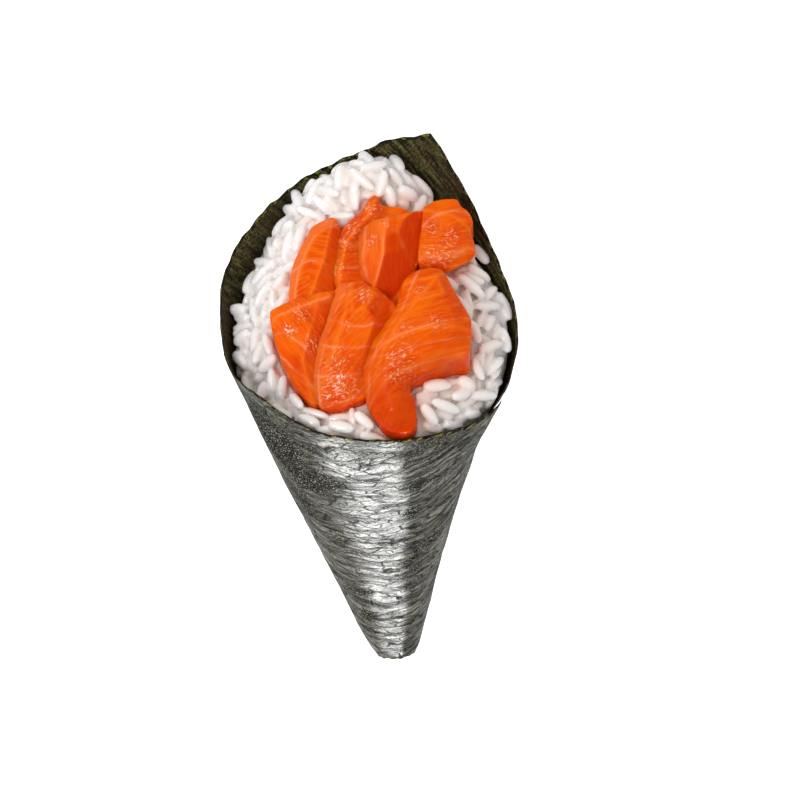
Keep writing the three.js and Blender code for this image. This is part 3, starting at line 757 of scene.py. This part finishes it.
def nori_inner_radius(points):
    """How far out a point may lie, and where the rim is at its angle, round the roll's axis."""
    angle = np.degrees(np.arctan2(-points[:, 0], -points[:, 1]))
    limit = wall_radius(points[:, 2], angle) - NORI_DEPTH - LAYER_PITCH * doubled(angle)
    turn = (SHEET_INNER_END - angle) % 360
    return limit, rim_height(turn + np.where(turn < CORNER_TURN, 360.0, 0.0))


def held_by_nori(points):
    """Places about the roll's axis, pressed in where they would cut through the nori."""
    limit, rim = nori_inner_radius(points)
    reach = np.hypot(points[:, 0], points[:, 1])
    squeeze = np.where((points[:, 2] < rim + 0.5) & (reach > limit), limit / reach, 1.0)
    points[:, :2] *= squeeze[:, None]
    return points


salmon_flesh, tree, shader = new_material(
    "raw salmon", Subsurface_Weight=0.6, Subsurface_Scale=0.0024, Subsurface_Radius=(1.0, 0.18, 0.04),
    IOR=1.4, Specular_IOR_Level=0.06, Coat_Roughness=0.16, Coat_IOR=1.45)
strand = node(tree, "ShaderNodeAttribute", attribute_name="strand").outputs["Vector"]
spot = node(tree, "ShaderNodeTexCoord").outputs["Object"]
cloud = speckle(tree, spot, 150.0, 3.0)
fibres = speckle(tree, scaled(tree, strand, (1.7, 0.15, 0.5)), 1.0, 4.0, 0.6)
colour = ramp(tree, cloud, [(0.34, (0.72, 0.055, 0.0005)), (0.66, (0.86, 0.125, 0.0008))])
colour = blended(tree, ramp(tree, fibres, [(0.46, 0.0), (0.60, 0.5)]), colour, (0.90, 0.190, 0.006))
# Painted highlight: paler along the ridges between facets. The pale rim outside the rim fat line is
# partly a paler membrane and partly painted sheen.
for mask, share, tint in (("painted_ridge_highlight", 0.4, (0.95, 0.24, 0.015)), ("pale_rim_and_sheen", 0.8, (0.88, 0.18, 0.035))):
    colour = blended(tree, times(tree, attribute(tree, mask), share), colour, tint)
strength = ramp(tree, speckle(tree, spot, 210.0, 2.0), [(0.38, 0.25), (0.6, 1.0)])
for family in ("fat", "rim_fat"):
    layer = sums(tree, "SUBTRACT", attribute(tree, family), 0.045)
    layer = sums(tree, "MULTIPLY_ADD", speckle(tree, spot, 420.0, 3.0), 0.09, layer)
    away = sums(tree, "PINGPONG", layer, 0.5)
    line = ramp(tree, away, [(0.010, 1.0), (0.045, 0.25), (0.12, 0.0)])
    share = times(tree, times(tree, line, strength), 0.62)
    colour = blended(tree, share, colour, (0.93, 0.34, 0.14))
# Painted shade: a darker red lower down the sides and between pieces, on the sides turned from the key
# light, and on front ends that hang.
for mask, share, tint in (("painted_side_shade", 0.5, (0.70, 0.040, 0.0006)), ("painted_flank_shade", 0.85, (0.60, 0.034, 0.0005))):
    colour = blended(tree, times(tree, attribute(tree, mask), share), colour, tint)
glints = attribute(tree, "glints")
wet = ramp(tree, speckle(tree, spot, 330.0, 2.0), [(0.4, 0.26), (0.65, 0.15)])
wet = blended(tree, glints, wet, (0.12, 0.12, 0.12))
tree.links.new(wet, shader.inputs["Roughness"])
pits = times(tree, speckle(tree, spot, 1500.0, 1.0), 0.2)
relief = sums(tree, "MULTIPLY_ADD", fibres, 0.6, pits)
torn = speckle(tree, scaled(tree, strand, (2.4, 1.1, 1.5)), 1.0, 2.0)
relief = sums(tree, "MULTIPLY_ADD", times(tree, torn, glints), 1.2, relief)
# Painted glints: pale flecks in the colour over the rough wet spots.
painted_glints = times(tree, ramp(tree, torn, [(0.54, 0.0), (0.64, 0.8)]), glints)
tree.links.new(blended(tree, painted_glints, colour, (1.0, 0.50, 0.28)), shader.inputs["Base Color"])
drops = sums(tree, "MULTIPLY_ADD", glints, 0.16, times(tree, torn, 0.8))
tree.links.new(ramp(tree, drops, [(0.50, 0.0), (0.56, 1.0)]), shader.inputs["Coat Weight"])
give_relief(tree, shader, relief, 0.7, 0.0005)

GRID_STEP = 0.5
GRID = np.arange(-33.0, 33.0, GRID_STEP)


def inside_loop(places, loop):
    """Whether each place lies inside a closed curve."""
    inside = np.zeros(len(places), bool)
    for start, end in zip(loop, np.roll(loop, -1, 0)):
        crosses = (start[1] > places[:, 1]) != (end[1] > places[:, 1])
        lean = (end[0] - start[0]) / (end[1] - start[1] + 1e-12)
        inside ^= crosses & (places[:, 0] < start[0] + (places[:, 1] - start[1]) * lean)
    return inside


def softened_at(heights, passes, places):
    """A grid's heights, softened a number of times, at each place."""
    grid = heights.reshape(len(GRID), len(GRID))
    for axis in (0, 1) * passes:
        grid = (np.roll(grid, 1, axis) + 2 * grid + np.roll(grid, -1, axis)) / 4
    spot = np.clip((places[:, :2] - GRID[0]) / GRID_STEP, 0, len(GRID) - 1.001)
    left, low = spot.astype(int).T
    over, up = (spot - spot.astype(int)).T
    lower = grid[left, low] * (1 - over) + grid[left + 1, low] * over
    upper = grid[left, low + 1] * (1 - over) + grid[left + 1, low + 1] * over
    return lower * (1 - up) + upper * up


spots = np.stack(np.meshgrid(GRID, GRID, indexing="ij"), -1).reshape(-1, 2)
heap = mound_height(spots[:, 0], spots[:, 1])
for shape in SALMON.values():
    within = inside_loop(spots, round_loop(shape["edge"], OUTLINE_POINTS))
    tops = facet_heights(spots[within], shape["edge"], shape["ridges"])
    heap[within] = np.maximum(heap[within], tops)

salmon_pieces = []
already_cut = []
for name, own_shape in SALMON.items():
    shape = {**PLAIN_CUT, **own_shape}
    edge = grown(shape["edge"], SWELL)
    piece = knife_block(name + "_cut", edge)
    for other in already_cut:
        finish_with(piece, "BOOLEAN", object=other, operation="DIFFERENCE", solver="EXACT")
    already_cut.append(knife_block(name + "_knife", grown(edge, -OVERLAP), 4.0))
    finish_with(piece, "REMESH", mode="VOXEL", voxel_size=VOXEL)
    places = vertex_places(piece)
    top = facet_heights(places, edge, shape["ridges"])
    rounded = facet_heights(spots, edge, shape["ridges"])
    softness = 0.9 * smoothstep(-places[:, 1], 8, 18)
    top += softness * (softened_at(rounded, SOFT_PASSES, places) - top)
    top = np.maximum(top, softened_at(heap, HEAP_PASSES, places) - GROOVE_DEPTH)
    hang_from, hang_to, hang_by = shape["hang"]
    hang = hang_by * smoothstep(hang_from - places[:, 1], 0, hang_from - hang_to) ** 2
    foot = mound_height(places[:, 0], places[:, 1]) - SUNK - hang
    share = (places[:, 2] - BLOCK_FOOT) / (BLOCK_TOP - BLOCK_FOOT)
    places[:, 2] = foot + share * (np.maximum(top, foot + 1.5) - foot)
    right_front = smoothstep(places[:, 0], 13, 23) * smoothstep(-places[:, 1], -16, -5)
    places[:, :2] += (right_front * (1 - share))[:, None] * np.array(shape["lean"])
    move_vertices(piece, places)
    finish_with(piece, "SMOOTH", factor=0.5, iterations=6)
    places = vertex_places(piece)
    normals = np.empty(len(places) * 3, np.float32)
    piece.data.vertices.foreach_get("normal", normals)
    normals = normals.reshape(-1, 3).astype(float)
    layer, strand_across, strand_along = fat_layers(places, shape["fat"])
    rim_layer, _, _ = fat_layers(places, shape["rim_fat"])
    seed = 3.7 * len(salmon_pieces)
    swell = rough(places * 0.28 + seed)
    ribs = rough(np.stack([strand_across * 0.9, strand_along * 0.14, places[:, 2] * 0.3 + seed], 1))
    pitted = rough(places * 1.1 + seed)
    places += normals * (0.16 * swell + 0.07 * ribs + 0.035 * pitted)[:, None]
    # Painted shade on facets turned to the right and the front, away from the key light, and on front
    # ends that hang.
    painted_flank_shade = smoothstep(normals @ np.array([0.8, -0.5, 0.0]), 0.05, 0.5)
    give_numbers(piece, "painted_flank_shade", np.maximum(shape["painted_flank_shade"] * painted_flank_shade, hang * hang_by / HANG_SHADE))
    # Painted highlight along the ridges between facets.
    painted_ridge_highlight = np.zeros(len(places))
    for line in shape["ridges"]:
        away = line_distance(places, np.array(line)[:, :2])[0]
        painted_ridge_highlight = np.maximum(painted_ridge_highlight, np.exp(-(away / 0.5) ** 2))
    give_numbers(piece, "painted_ridge_highlight", painted_ridge_highlight)
    give_numbers(piece, "fat", layer)
    give_numbers(piece, "rim_fat", rim_layer)
    # Painted shade: a darker red lower down the sides, below the cut top, and in the gaps between pieces.
    give_numbers(piece, "painted_side_shade", smoothstep(top - places[:, 2], 0.3, 3.5))
    # The pale rim outside the rim fat line: partly a paler membrane at the cut edge, partly painted
    # sheen.
    outside = np.zeros(len(places))
    if shape["rim_fat"]:
        rim_line = shape["rim_fat"][0]
        middle = np.array([shape["edge"]])[:, :, :2].mean(1)
        inward = np.sign(line_distance(middle, rim_line)[0])
        outside = smoothstep(-line_distance(places, rim_line)[0] * inward, 0.0, 0.8)
    give_numbers(piece, "pale_rim_and_sheen", outside * shape["pale_rim_and_sheen"])
    # Rough wet spots, which also carry painted glints in the colour.
    wet_and_glint_spots = np.zeros(len(places))
    for across, along, radius in shape["glints"]:
        near = np.hypot(places[:, 0] - across, places[:, 1] - along) / radius
        wet_and_glint_spots = np.maximum(wet_and_glint_spots, np.exp(-near ** 2))
    give_numbers(piece, "glints", wet_and_glint_spots)
    strands = piece.data.attributes.new("strand", "FLOAT_VECTOR", "POINT")
    strands.data.foreach_set("vector", np.stack(
        [strand_across, strand_along, places[:, 2]], 1).astype(np.float32).ravel())
    move_vertices(piece, laid_down(held_by_nori(on_mouth(places))))
    turn_faces_out(piece)
    shade_smooth(piece)
    piece.data.materials.append(salmon_flesh)
    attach(piece, "root")
    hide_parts(name)
    salmon_pieces.append(piece)
for knife in already_cut:
    bpy.data.objects.remove(knife)

# Rice: cooked short-grain sushi rice, pressed into the cone and heaped at the back of the mouth.
# The grains are plump and glossy, stick together in one pressed skin over a core that fills the
# cone, and have taken some of the salmon's colour where they lie against it. Painted shade warms
# and darkens them far down in the pile, in the gaps between them and towards the tip.
RICE_EDGE = [
    (-180, 122), (-142, 125), (-104, 121), (-80, 122), (-54, 128), (-32, 134), (-14, 138.8),
    (6, 144.2), (26, 142.5), (42, 135), (59, 129.5), (80, 125), (94, 120.3), (106, 113.5), (120, 112),
    (150, 117.5), (180, 122),
]
GRAIN_LENGTH = 6.7
GRAIN_WIDTH = 2.65
GRAIN_KINDS = 10
CORE_COLUMNS = 96
CORE_WALL_RINGS = 30
CORE_TOP_RINGS = 16
CORE_FOOT = 26.5
CORE_UNDER_RIM = 2.2
CORE_UNDER_BED = 0.9
BED_RINGS = 60
BED_BELOW = 1.2
BED_THICKNESS = 2.2
FUSED_VOXEL = 0.30
FUSED_KEPT = 0.5
RICE_DEPTH = 0.75
rice_edge = curve_through(RICE_EDGE)


def rice_radius(height, angle):
    return wall_radius(height, angle) - RICE_DEPTH - LAYER_PITCH * doubled(angle)


def mound_place(out, angle, below=0.0):
    """A place over the mouth: out is 0 in the middle and 1 at the wall."""
    height = rice_edge(angle)
    offset = on_roll(height, rice_radius(height, angle), angle) - np.array([0, 0, MOUTH_HEIGHT])
    across, along, up = offset @ ACROSS * out, offset @ ALONG * out, offset @ UP
    share = 1 - out ** 8
    level = up + share * (mound_height(across, along) - up) - below
    return np.stack([across, along, level], -1)


rings = CORE_WALL_RINGS + CORE_TOP_RINGS
bpy.ops.mesh.primitive_uv_sphere_add(segments=CORE_COLUMNS, ring_count=rings, radius=1)
rice = bpy.context.object
rice.name = rice.data.name = "rice_filling"
ball = vertex_places(rice)
ring = np.rint((1 - np.arccos(np.clip(ball[:, 2], -1, 1)) / math.pi) * rings)
angle = np.degrees(np.arctan2(ball[:, 0], ball[:, 1]))
wall_share = np.clip((ring - 1) / (CORE_WALL_RINGS - 1), 0, 1)
core_height = CORE_FOOT + (rice_edge(angle) - CORE_UNDER_RIM - CORE_FOOT) * wall_share
core_wall = on_roll(core_height, rice_radius(core_height, angle) - 0.1, angle)
out = np.clip(1 - (ring - CORE_WALL_RINGS) / CORE_TOP_RINGS, 0, 1)
top_places = mound_place(out, angle, BED_BELOW + CORE_UNDER_BED)
core_places = np.where((ring > CORE_WALL_RINGS)[:, None], on_mouth(top_places), core_wall)
core_places[ring == 0] = (0, 0, CORE_FOOT)
move_vertices(rice, laid_down(core_places))
turn_faces_out(rice)
give_numbers(rice, "grain_tone", np.full(len(ball), 0.5))
# Painted shade: the core takes the full warm dark tint.
give_numbers(rice, "buried_shade", np.ones(len(ball)))

bpy.ops.mesh.primitive_uv_sphere_add(segments=CORE_COLUMNS, ring_count=BED_RINGS, radius=1)
bed = bpy.context.object
ball = vertex_places(bed)
angle = np.degrees(np.arctan2(ball[:, 0], ball[:, 1]))
polar = np.arccos(np.clip(ball[:, 2], -1, 1)) / math.pi
out = 1 - np.abs(1 - 2 * polar)
bed_places = mound_place(out * 0.985, angle, BED_BELOW + BED_THICKNESS * (polar > 0.5))
lumps = rough(bed_places * 0.45) + 0.5 * rough(bed_places * 0.95 + 9)
mushy = smoothstep(bed_places[:, 1] - 0.8 * bed_places[:, 0], 5, 25)
bed_places[:, 2] += np.where(polar < 0.5, (0.5 * lumps + 0.7 * mushy) * smoothstep(1 - out, 0.0, 0.1), 0)
move_vertices(bed, bed_places)
bed.select_set(False)

grain_shapes = []
draws = np.random.default_rng(11)
for kind in range(GRAIN_KINDS):
    bpy.ops.mesh.primitive_uv_sphere_add(segments=10, ring_count=8, radius=1)
    grain = bpy.context.object
    shape = vertex_places(grain)
    along_grain = shape[:, 2].copy()
    girth = np.maximum(np.hypot(shape[:, 0], shape[:, 1]), 1e-6)
    fuller = girth ** 0.78 / girth * (1 + 0.10 * draws.uniform(-1, 1) * along_grain)
    shape[:, 0] *= fuller * (0.9 + 0.1 * draws.uniform(-1, 1))
    shape[:, 1] *= fuller
    shape[:, 0] += draws.uniform(0.04, 0.16) * (along_grain ** 2 - 0.4)
    shape[:, 0] -= 0.08 * np.exp(-((shape[:, 0] - 0.8) / 0.3) ** 2) * (1 - along_grain ** 2)
    shape[:, :2] += 0.10 * draws.uniform(-1, 1, 2) * along_grain[:, None]
    shape *= 1 + 0.09 * rough(shape * 1.4 + 7 * kind)[:, None]
    grain_shapes.append((shape, [tuple(face.vertices) for face in grain.data.polygons]))
    bpy.data.objects.remove(grain)


def tree_of(pieces):
    """One search tree over the faces of several pieces."""
    points, faces = [], []
    for piece in pieces:
        first = len(points)
        points += [vertex.co.copy() for vertex in piece.data.vertices]
        faces += [[first + corner for corner in face.vertices] for face in piece.data.polygons]
    return BVHTree.FromPolygons(points, faces)


salmon_tree = tree_of(salmon_pieces)


def clear_of_salmon(samples, radius):
    """Whether a grain's sample points keep most of its radius away from the salmon."""
    for sample in samples:
        hit, normal, _, away = salmon_tree.find_nearest(Vector(sample))
        if (Vector(sample) - hit).dot(normal) < 0 or away < radius:
            return False
    return True


# Shares of a grain's length where its distance from others is measured.
GRAIN_STATIONS = np.linspace(-0.36, 0.36, 5)
# Single grains that lie on top, each from one end to the other across, along and over the mouth.
# One that would cut into the salmon, the nori or a grain before it is left out.
TOP_GRAINS = [
    [20.6, 7.2, -2.4, 25.7, 3.7, -6.1], [23, 10.7, -5.2, 27.2, 8.3, -8.8],
    [23.7, 0.4, -4.4, 29.2, 2.8, -9.5], [24.5, 16, -6.8, 27.5, 12.7, -8.4],
    [29.1, 6, -9.9, 30.3, 0, -10.8], [26, -0.3, -6.9, 29.8, -0.2, -10.7],
    [28.2, -7.5, -10.4, 31.8, -3.3, -11.2], [24.5, -11.9, -6.8, 29, -15.1, -12.4],
    [22, -3.3, -3.5, 23.7, -7.5, -5.2], [22.1, -11.5, -4.7, 23.5, -14.6, -8.1],
    [14.9, -16.1, -0.8, 19.3, -15.2, -3.5], [18.8, -16, -3.6, 21.5, -17.1, -7.4],
    [17, -20, -3.7, 20.4, -18.2, -6.6], [21.2, -18.1, -7.7, 25.9, -16.4, -13],
    [20.9, -20.5, -9.7, 25.5, -19.2, -13.2], [12.9, -21.9, -1, 18.1, -22.3, -6.8],
    [10.5, -23, 0, 13.3, -25.7, -4.6], [14.8, -23.5, -5, 19.7, -21.8, -9.6],
    [23.7, -8.8, -5.9, 28.2, -5.9, -10], [24.2, -5.7, -5.4, 27.3, -6.6, -9],
    [25.8, 8.2, -7.7, 29.6, 7.2, -10.4], [27.8, -9.1, -11.6, 30.8, -12.6, -13.1],
    [8.5, -28.1, -3.1, 10.7, -24.1, -1.6], [-3, -24.1, 1.7, 0.2, -27.6, 0.6],
    [-8.5, -25.9, 1.1, -3.7, -27.7, 0.8], [-10.6, -22.2, 0.8, -8.4, -26.5, 0.8],
    [-14.9, -23.3, 0.2, -10.7, -25.7, 0.8], [-5.4, -22.7, 1.6, -2.2, -26.2, 1],
    [-21.5, 17.8, -7.5, -17.2, 13.8, -2.5], [-27.7, 8.1, -9.8, -24.2, 6.3, -7.2],
    [-26.6, 6.3, -10.1, -23.7, 3.9, -6.9], [-24.4, 10.7, -8.1, -23.2, 3.6, -5.9],
    [-27, -0.1, -9.7, -23.7, 0.6, -6.4], [-24, 1.6, -6.5, -21.9, -5, -4.4],
    [-27.3, -2.1, -9.8, -25, -6.9, -7.5], [-22.2, -9.5, -4.7, -18.3, -8, -2],
    [-25.1, -8.7, -7.3, -21.5, -9.3, -4.3], [-26.4, 13.2, -9.5, -24.2, 9.2, -7.9],
    [-12.1, 31.2, -3, -10.7, 25.3, 1], [-14.2, 28.2, -4.7, -11.7, 24.4, 0.2],
    [-22.4, 11.5, -6.3, -19, 13.9, -3.9], [-5.7, 32.2, 0, -3.7, 27.1, 5.7],
    [9.4, 34.4, 2.1, 10.8, 29.2, 4.8], [13.2, 33.1, 1.9, 17, 28.1, 0.3],
    [2.7, 35.2, 2.9, 5.3, 29.5, 7.6], [7.4, 27.7, 7.9, 5.6, 22.8, 5.7],
    [16.6, 26.4, 0.3, 20.8, 25.3, -1.7], [10, 24.9, 5, 13.7, 23.8, 2.1],
    [7.8, 24.8, 6.5, 8.5, 20.9, 3.9],
]
# Layers of grains from the one that shows most: how far below the mound their middles lie, how
# many are tried, how close two grains may lie as a share of their width, and their share of a
# whole grain's length, as broken grains fill what the whole ones leave.
GRAIN_LAYERS = [
    (-0.6, 14000, 0.82, 1.0), (0.3, 14000, 0.62, 1.0), (0.6, 9000, 0.55, 0.8),
]
MUSHY = 0.12
OVER_RIM = 1.2
OVER_BACK = 1.4
TIP_GRAIN_SIZE = [1.15, 1.1, 2.5]
TIP_GRAIN_HEIGHT = 26.2
# Grains in the open tip: how far out, the turn of the middle, and the turn of the grain.
TIP_GRAINS = [
    (1.2, 40, 125), (1.3, 225, 112), (3.5, 5, 92), (3.6, 80, 168), (3.5, 155, 250), (3.6, 230, 322),
    (3.5, 305, 28),
]
laid_samples = np.zeros((0, len(GRAIN_STATIONS), 3))


def grains_object(laid):
    """One mesh of laid grains, in millimetres over the mouth, with a tone and a painted shade depth for
    each.
    """
    points, faces, numbers = [], [], []
    count = 0
    for places, grain_sides, tone, buried_shade in laid:
        points.append(places)
        faces += [tuple(count + corner for corner in side) for side in grain_sides]
        numbers.append(np.tile([[tone, buried_shade]], (len(places), 1)))
        count += len(places)
    mesh = bpy.data.meshes.new("fused_grains")
    mesh.from_pydata(np.concatenate(points).tolist(), [], faces)
    made = bpy.data.objects.new("fused_grains", mesh)
    bpy.context.scene.collection.objects.link(made)
    return made, np.concatenate(points), np.concatenate(numbers)


def lay_grains(middles, directions, lengths, widths, closeness, buried_shade, on_top=False):
    """Lays the grains in turn, each if it keeps clear of the others, the salmon and the nori."""
    global laid_samples
    laid = []
    samples = middles[:, None] + directions[:, None] * GRAIN_STATIONS[:, None] * lengths[:, None, None]
    fits = np.ones(len(middles), bool)
    over_wall = OVER_RIM if on_top else 0.1
    for end, girth in ((-0.42, 0.24), (0.0, 0.48), (0.42, 0.24)):
        rolled = on_mouth(middles + directions * (end * lengths)[:, None])
        limit, rim = nori_inner_radius(rolled)
        reach = np.hypot(rolled[:, 0], rolled[:, 1]) + girth * widths
        at_back = np.abs(np.degrees(np.arctan2(-rolled[:, 0], -rolled[:, 1])) - 2) < 12
        over_back = at_back & (rolled[:, 2] > rim + 0.8) & (reach < limit + OVER_BACK)
        fits &= over_back | (reach < limit + over_wall)
    for middle, direction, length, width, close, sample, fit in zip(
            middles, directions, lengths, widths, closeness, samples, fits):
        if not fit:
            continue
        near = laid_samples[np.abs(laid_samples[:, 2] - middle).max(1) < length + 1]
        if len(near):
            gaps = ((near[:, :, None] - sample[None, None]) ** 2).sum(-1)
            if gaps.min() < (close * width) ** 2:
                continue
        if not clear_of_salmon(laid_down(on_mouth(sample)), (0.1 if on_top else 0.24) * width * MM):
            continue
        shape, faces = grain_shapes[draws.integers(GRAIN_KINDS)]
        side = np.cross(direction, draws.normal(size=3))
        side /= np.linalg.norm(side)
        other_side = np.cross(direction, side)
        local = shape * np.array([width / 2, width / 2, length / 2])
        turned = middle + local[:, :1] * side + local[:, 1:2] * other_side + local[:, 2:] * direction
        laid.append((turned, faces, draws.random(), buried_shade))
        laid_samples = np.concatenate([laid_samples, sample[None]])
    return laid


top_grains = np.array(TOP_GRAINS)
spans = top_grains[:, 3:] - top_grains[:, :3]
lengths = np.linalg.norm(spans, axis=1)
all_grains = lay_grains(
    (top_grains[:, :3] + top_grains[:, 3:]) / 2, spans / lengths[:, None], lengths * 1.08,
    GRAIN_WIDTH * draws.uniform(0.95, 1.15, len(lengths)), np.full(len(lengths), 0.45), 0.0, True)
for below, tries, close, whole in GRAIN_LAYERS:
    out = np.sqrt(draws.random(tries)) * 0.995
    angle = draws.uniform(-180, 180, tries)
    spots = mound_place(out, angle, below)
    slope_out = mound_place(np.minimum(out + 0.03, 1), angle) - mound_place(out - 0.03, angle)
    slope_round = mound_place(out, angle + 3.0) - mound_place(out, angle - 3.0)
    normals = np.cross(slope_out, slope_round)
    normals *= (np.sign(normals[:, 2]) / np.linalg.norm(normals, axis=1))[:, None]
    heading = draws.uniform(0, math.pi, tries)[:, None]
    level = slope_round / np.linalg.norm(slope_round, axis=1)[:, None]
    directions = level * np.cos(heading) + np.cross(normals, level) * np.sin(heading)
    directions += normals * draws.normal(0, 0.2, tries)[:, None]
    directions /= np.linalg.norm(directions, axis=1)[:, None]
    lengths = whole * GRAIN_LENGTH * draws.uniform(0.82, 1.12, tries)
    widths = GRAIN_WIDTH * draws.uniform(0.86, 1.1, tries) * (0.6 + 0.4 * whole)
    middles = spots + normals * draws.uniform(-0.5, 0.5, tries)[:, None]
    closeness = close - MUSHY * smoothstep(spots[:, 1] - 0.8 * spots[:, 0], 5, 25)
    all_grains += lay_grains(
        middles, directions, lengths, widths, closeness, max(0.0, below + 0.7) / 2.2)

for number, (out, around, turned) in enumerate(TIP_GRAINS):
    around, turned = math.radians(around), math.radians(turned)
    local = grain_shapes[number][0] * np.array(TIP_GRAIN_SIZE)
    rolled = np.stack([
        out * math.cos(around) + local[:, 2] * math.cos(turned) - local[:, 1] * math.sin(turned),
        out * math.sin(around) + local[:, 2] * math.sin(turned) + local[:, 1] * math.cos(turned),
        TIP_GRAIN_HEIGHT + local[:, 0] - MOUTH_HEIGHT], 1)
    in_mouth = np.stack([rolled @ ACROSS, rolled @ ALONG, rolled @ UP], 1)
    all_grains.append((in_mouth, grain_shapes[number][1], draws.random(), 0.0))
fused, grain_places, grain_numbers = grains_object(all_grains)
pick(bed, fused)
bpy.ops.object.join()
finish_with(fused, "REMESH", mode="VOXEL", voxel_size=FUSED_VOXEL)
finish_with(fused, "SMOOTH", factor=0.5, iterations=2)
finish_with(fused, "DECIMATE", ratio=FUSED_KEPT)
fused.data.validate()
pick(fused)
bpy.ops.object.mode_set(mode="EDIT")
bpy.ops.mesh.select_all(action="SELECT")
bpy.ops.mesh.delete_loose(use_faces=True)
bpy.ops.object.mode_set(mode="OBJECT")
nearest_grain = KDTree(len(grain_places))
for index, place in enumerate(grain_places.tolist()):
    nearest_grain.insert(place, index)
nearest_grain.balance()
# Painted shade: how far down a grain lies, and how far a place lies from any grain's own surface, set the
# warm dark tint.
numbers = []
for vertex in fused.data.vertices:
    _, index, away = nearest_grain.find(vertex.co)
    tone, deep_shade = grain_numbers[index]
    numbers.append((tone, deep_shade + (1 - deep_shade) * min(1.0, max(0.0, away - 0.7) / 0.8)))
give_numbers(fused, "grain_tone", np.array(numbers)[:, 0])
give_numbers(fused, "buried_shade", np.array(numbers)[:, 1])
move_vertices(fused, laid_down(held_by_nori(on_mouth(vertex_places(fused)))))
pick(fused, rice)
bpy.ops.object.join()
rice.select_set(False)
rice_places = vertex_places(rice)
away = np.array([salmon_tree.find_nearest(Vector(place))[3] for place in rice_places.tolist()])
# Pink from the salmon where rice lies against it, and painted shade, wider and stronger towards the tip.
towards_tip = smoothstep((0.6 * (rice_places[:, 1] + 0.045) - rice_places[:, 0]) / MM, -12, 12)
give_numbers(rice, "blush_and_shade", (0.4 + 0.6 * towards_tip) * np.exp(-away / MM / (1.5 + 2 * towards_tip)))
shade_smooth(rice)

sushi_rice, tree, shader = new_material(
    "sushi rice", Subsurface_Weight=1.0, Subsurface_Scale=0.002, Subsurface_Radius=(1.0, 0.96, 0.94),
    IOR=1.42, Coat_Weight=1.0, Coat_Roughness=0.08, Coat_IOR=1.42)
spot = node(tree, "ShaderNodeTexCoord").outputs["Object"]
colour = ramp(tree, attribute(tree, "grain_tone"), [
    (0.0, (0.84, 0.81, 0.79)), (0.6, (0.89, 0.865, 0.85)), (1.0, (0.93, 0.91, 0.90))])
milky = ramp(tree, speckle(tree, spot, 420.0, 3.0), [(0.4, 0.0), (0.7, 0.4)])
colour = blended(tree, milky, colour, (0.83, 0.79, 0.77))
# Painted shade: a warm dark tint far down in the pile and between grains; the pink near the salmon is
# partly its stain and partly painted shade towards the tip.
for mask, share, tint in (("buried_shade", 0.85, (0.90, 0.74, 0.65)), ("blush_and_shade", 0.65, (0.91, 0.55, 0.40))):
    colour = blended(tree, times(tree, attribute(tree, mask), share), colour, tint)
tree.links.new(colour, shader.inputs["Base Color"])
gloss = ramp(tree, speckle(tree, spot, 600.0, 2.0), [(0.35, 0.36), (0.65, 0.22)])
tree.links.new(gloss, shader.inputs["Roughness"])
give_relief(tree, shader, speckle(tree, spot, 620.0, 2.0), 0.4, 0.0003)
rice.data.materials.clear()
rice.data.materials.append(sushi_rice)
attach(rice, "root")
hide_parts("rice")

# Table: a plain white surface under the roll.
bpy.ops.mesh.primitive_plane_add(size=6, location=(0, 0, 0))
table = bpy.context.object
table.name = table.data.name = "table"
table_white, tree, shader = new_material(
    "plain white table", Roughness=0.9, Emission_Color=(1, 1, 1, 1))
spot = node(tree, "ShaderNodeTexCoord").outputs["Object"]
rays = node(tree, "ShaderNodeLightPath").outputs
white = ramp(tree, speckle(tree, spot, 3.0), [(0.3, 0.80), (0.7, 0.82)])
white = blended(tree, rays["Is Glossy Ray"], white, (0.5, 0.5, 0.5))
tree.links.new(white, shader.inputs["Base Color"])
tree.links.new(times(tree, rays["Is Camera Ray"], 0.8), shader.inputs["Emission Strength"])
table.data.materials.append(table_white)

# Light: a soft white surround, a large soft key light high on one side of the mouth, and a low
# soft panel beyond the tip, which the glossy nori mirrors as a silver band.
ROLL_MIDDLE = (0, -0.01, 0.02)
surround = bpy.data.worlds.new("soft white surround")
surround.use_nodes = True
surround.node_tree.nodes["Background"].inputs["Color"].default_value = (1, 1, 1, 1)
surround.node_tree.nodes["Background"].inputs["Strength"].default_value = 0.72
bpy.context.scene.world = surround
bpy.context.scene.view_settings.view_transform = "Standard"


def soft_panel(name, direction, distance, size, power):
    """A square or oblong light that faces the roll from a direction."""
    light = bpy.data.lights.new(name, "AREA")
    light.shape = "RECTANGLE"
    light.size, light.size_y = size
    light.energy = power
    lamp = bpy.data.objects.new(name, light)
    bpy.context.scene.collection.objects.link(lamp)
    away = Vector(direction).normalized()
    lamp.visible_camera = False
    lamp.location = Vector(ROLL_MIDDLE) + away * distance
    lamp.rotation_mode = "QUATERNION"
    lamp.rotation_quaternion = away.to_track_quat("Z", "Y")


soft_panel("key light", (0.38, -0.48, 0.79), 1.3, (0.42, 0.42), 7)
soft_panel("panel beyond the tip", (0.113, 0.98, 0.14), 0.8, (0.56, 0.30), 6.5)

# Camera: it looks down into the mouth, with the tip towards the foot of the picture.
camera = bpy.data.cameras.new("camera")
camera.sensor_width = 36
camera.lens = 141.6
camera.clip_start = 0.05
camera.clip_end = 20
eye = bpy.data.objects.new("camera", camera)
bpy.context.scene.collection.objects.link(eye)
eye.location = (-0.006208, -0.378009, 0.585979)
eye.rotation_mode = "ZYX"
eye.rotation_euler = (math.radians(32.78), 0, math.radians(174.657))
bpy.context.scene.camera = eye
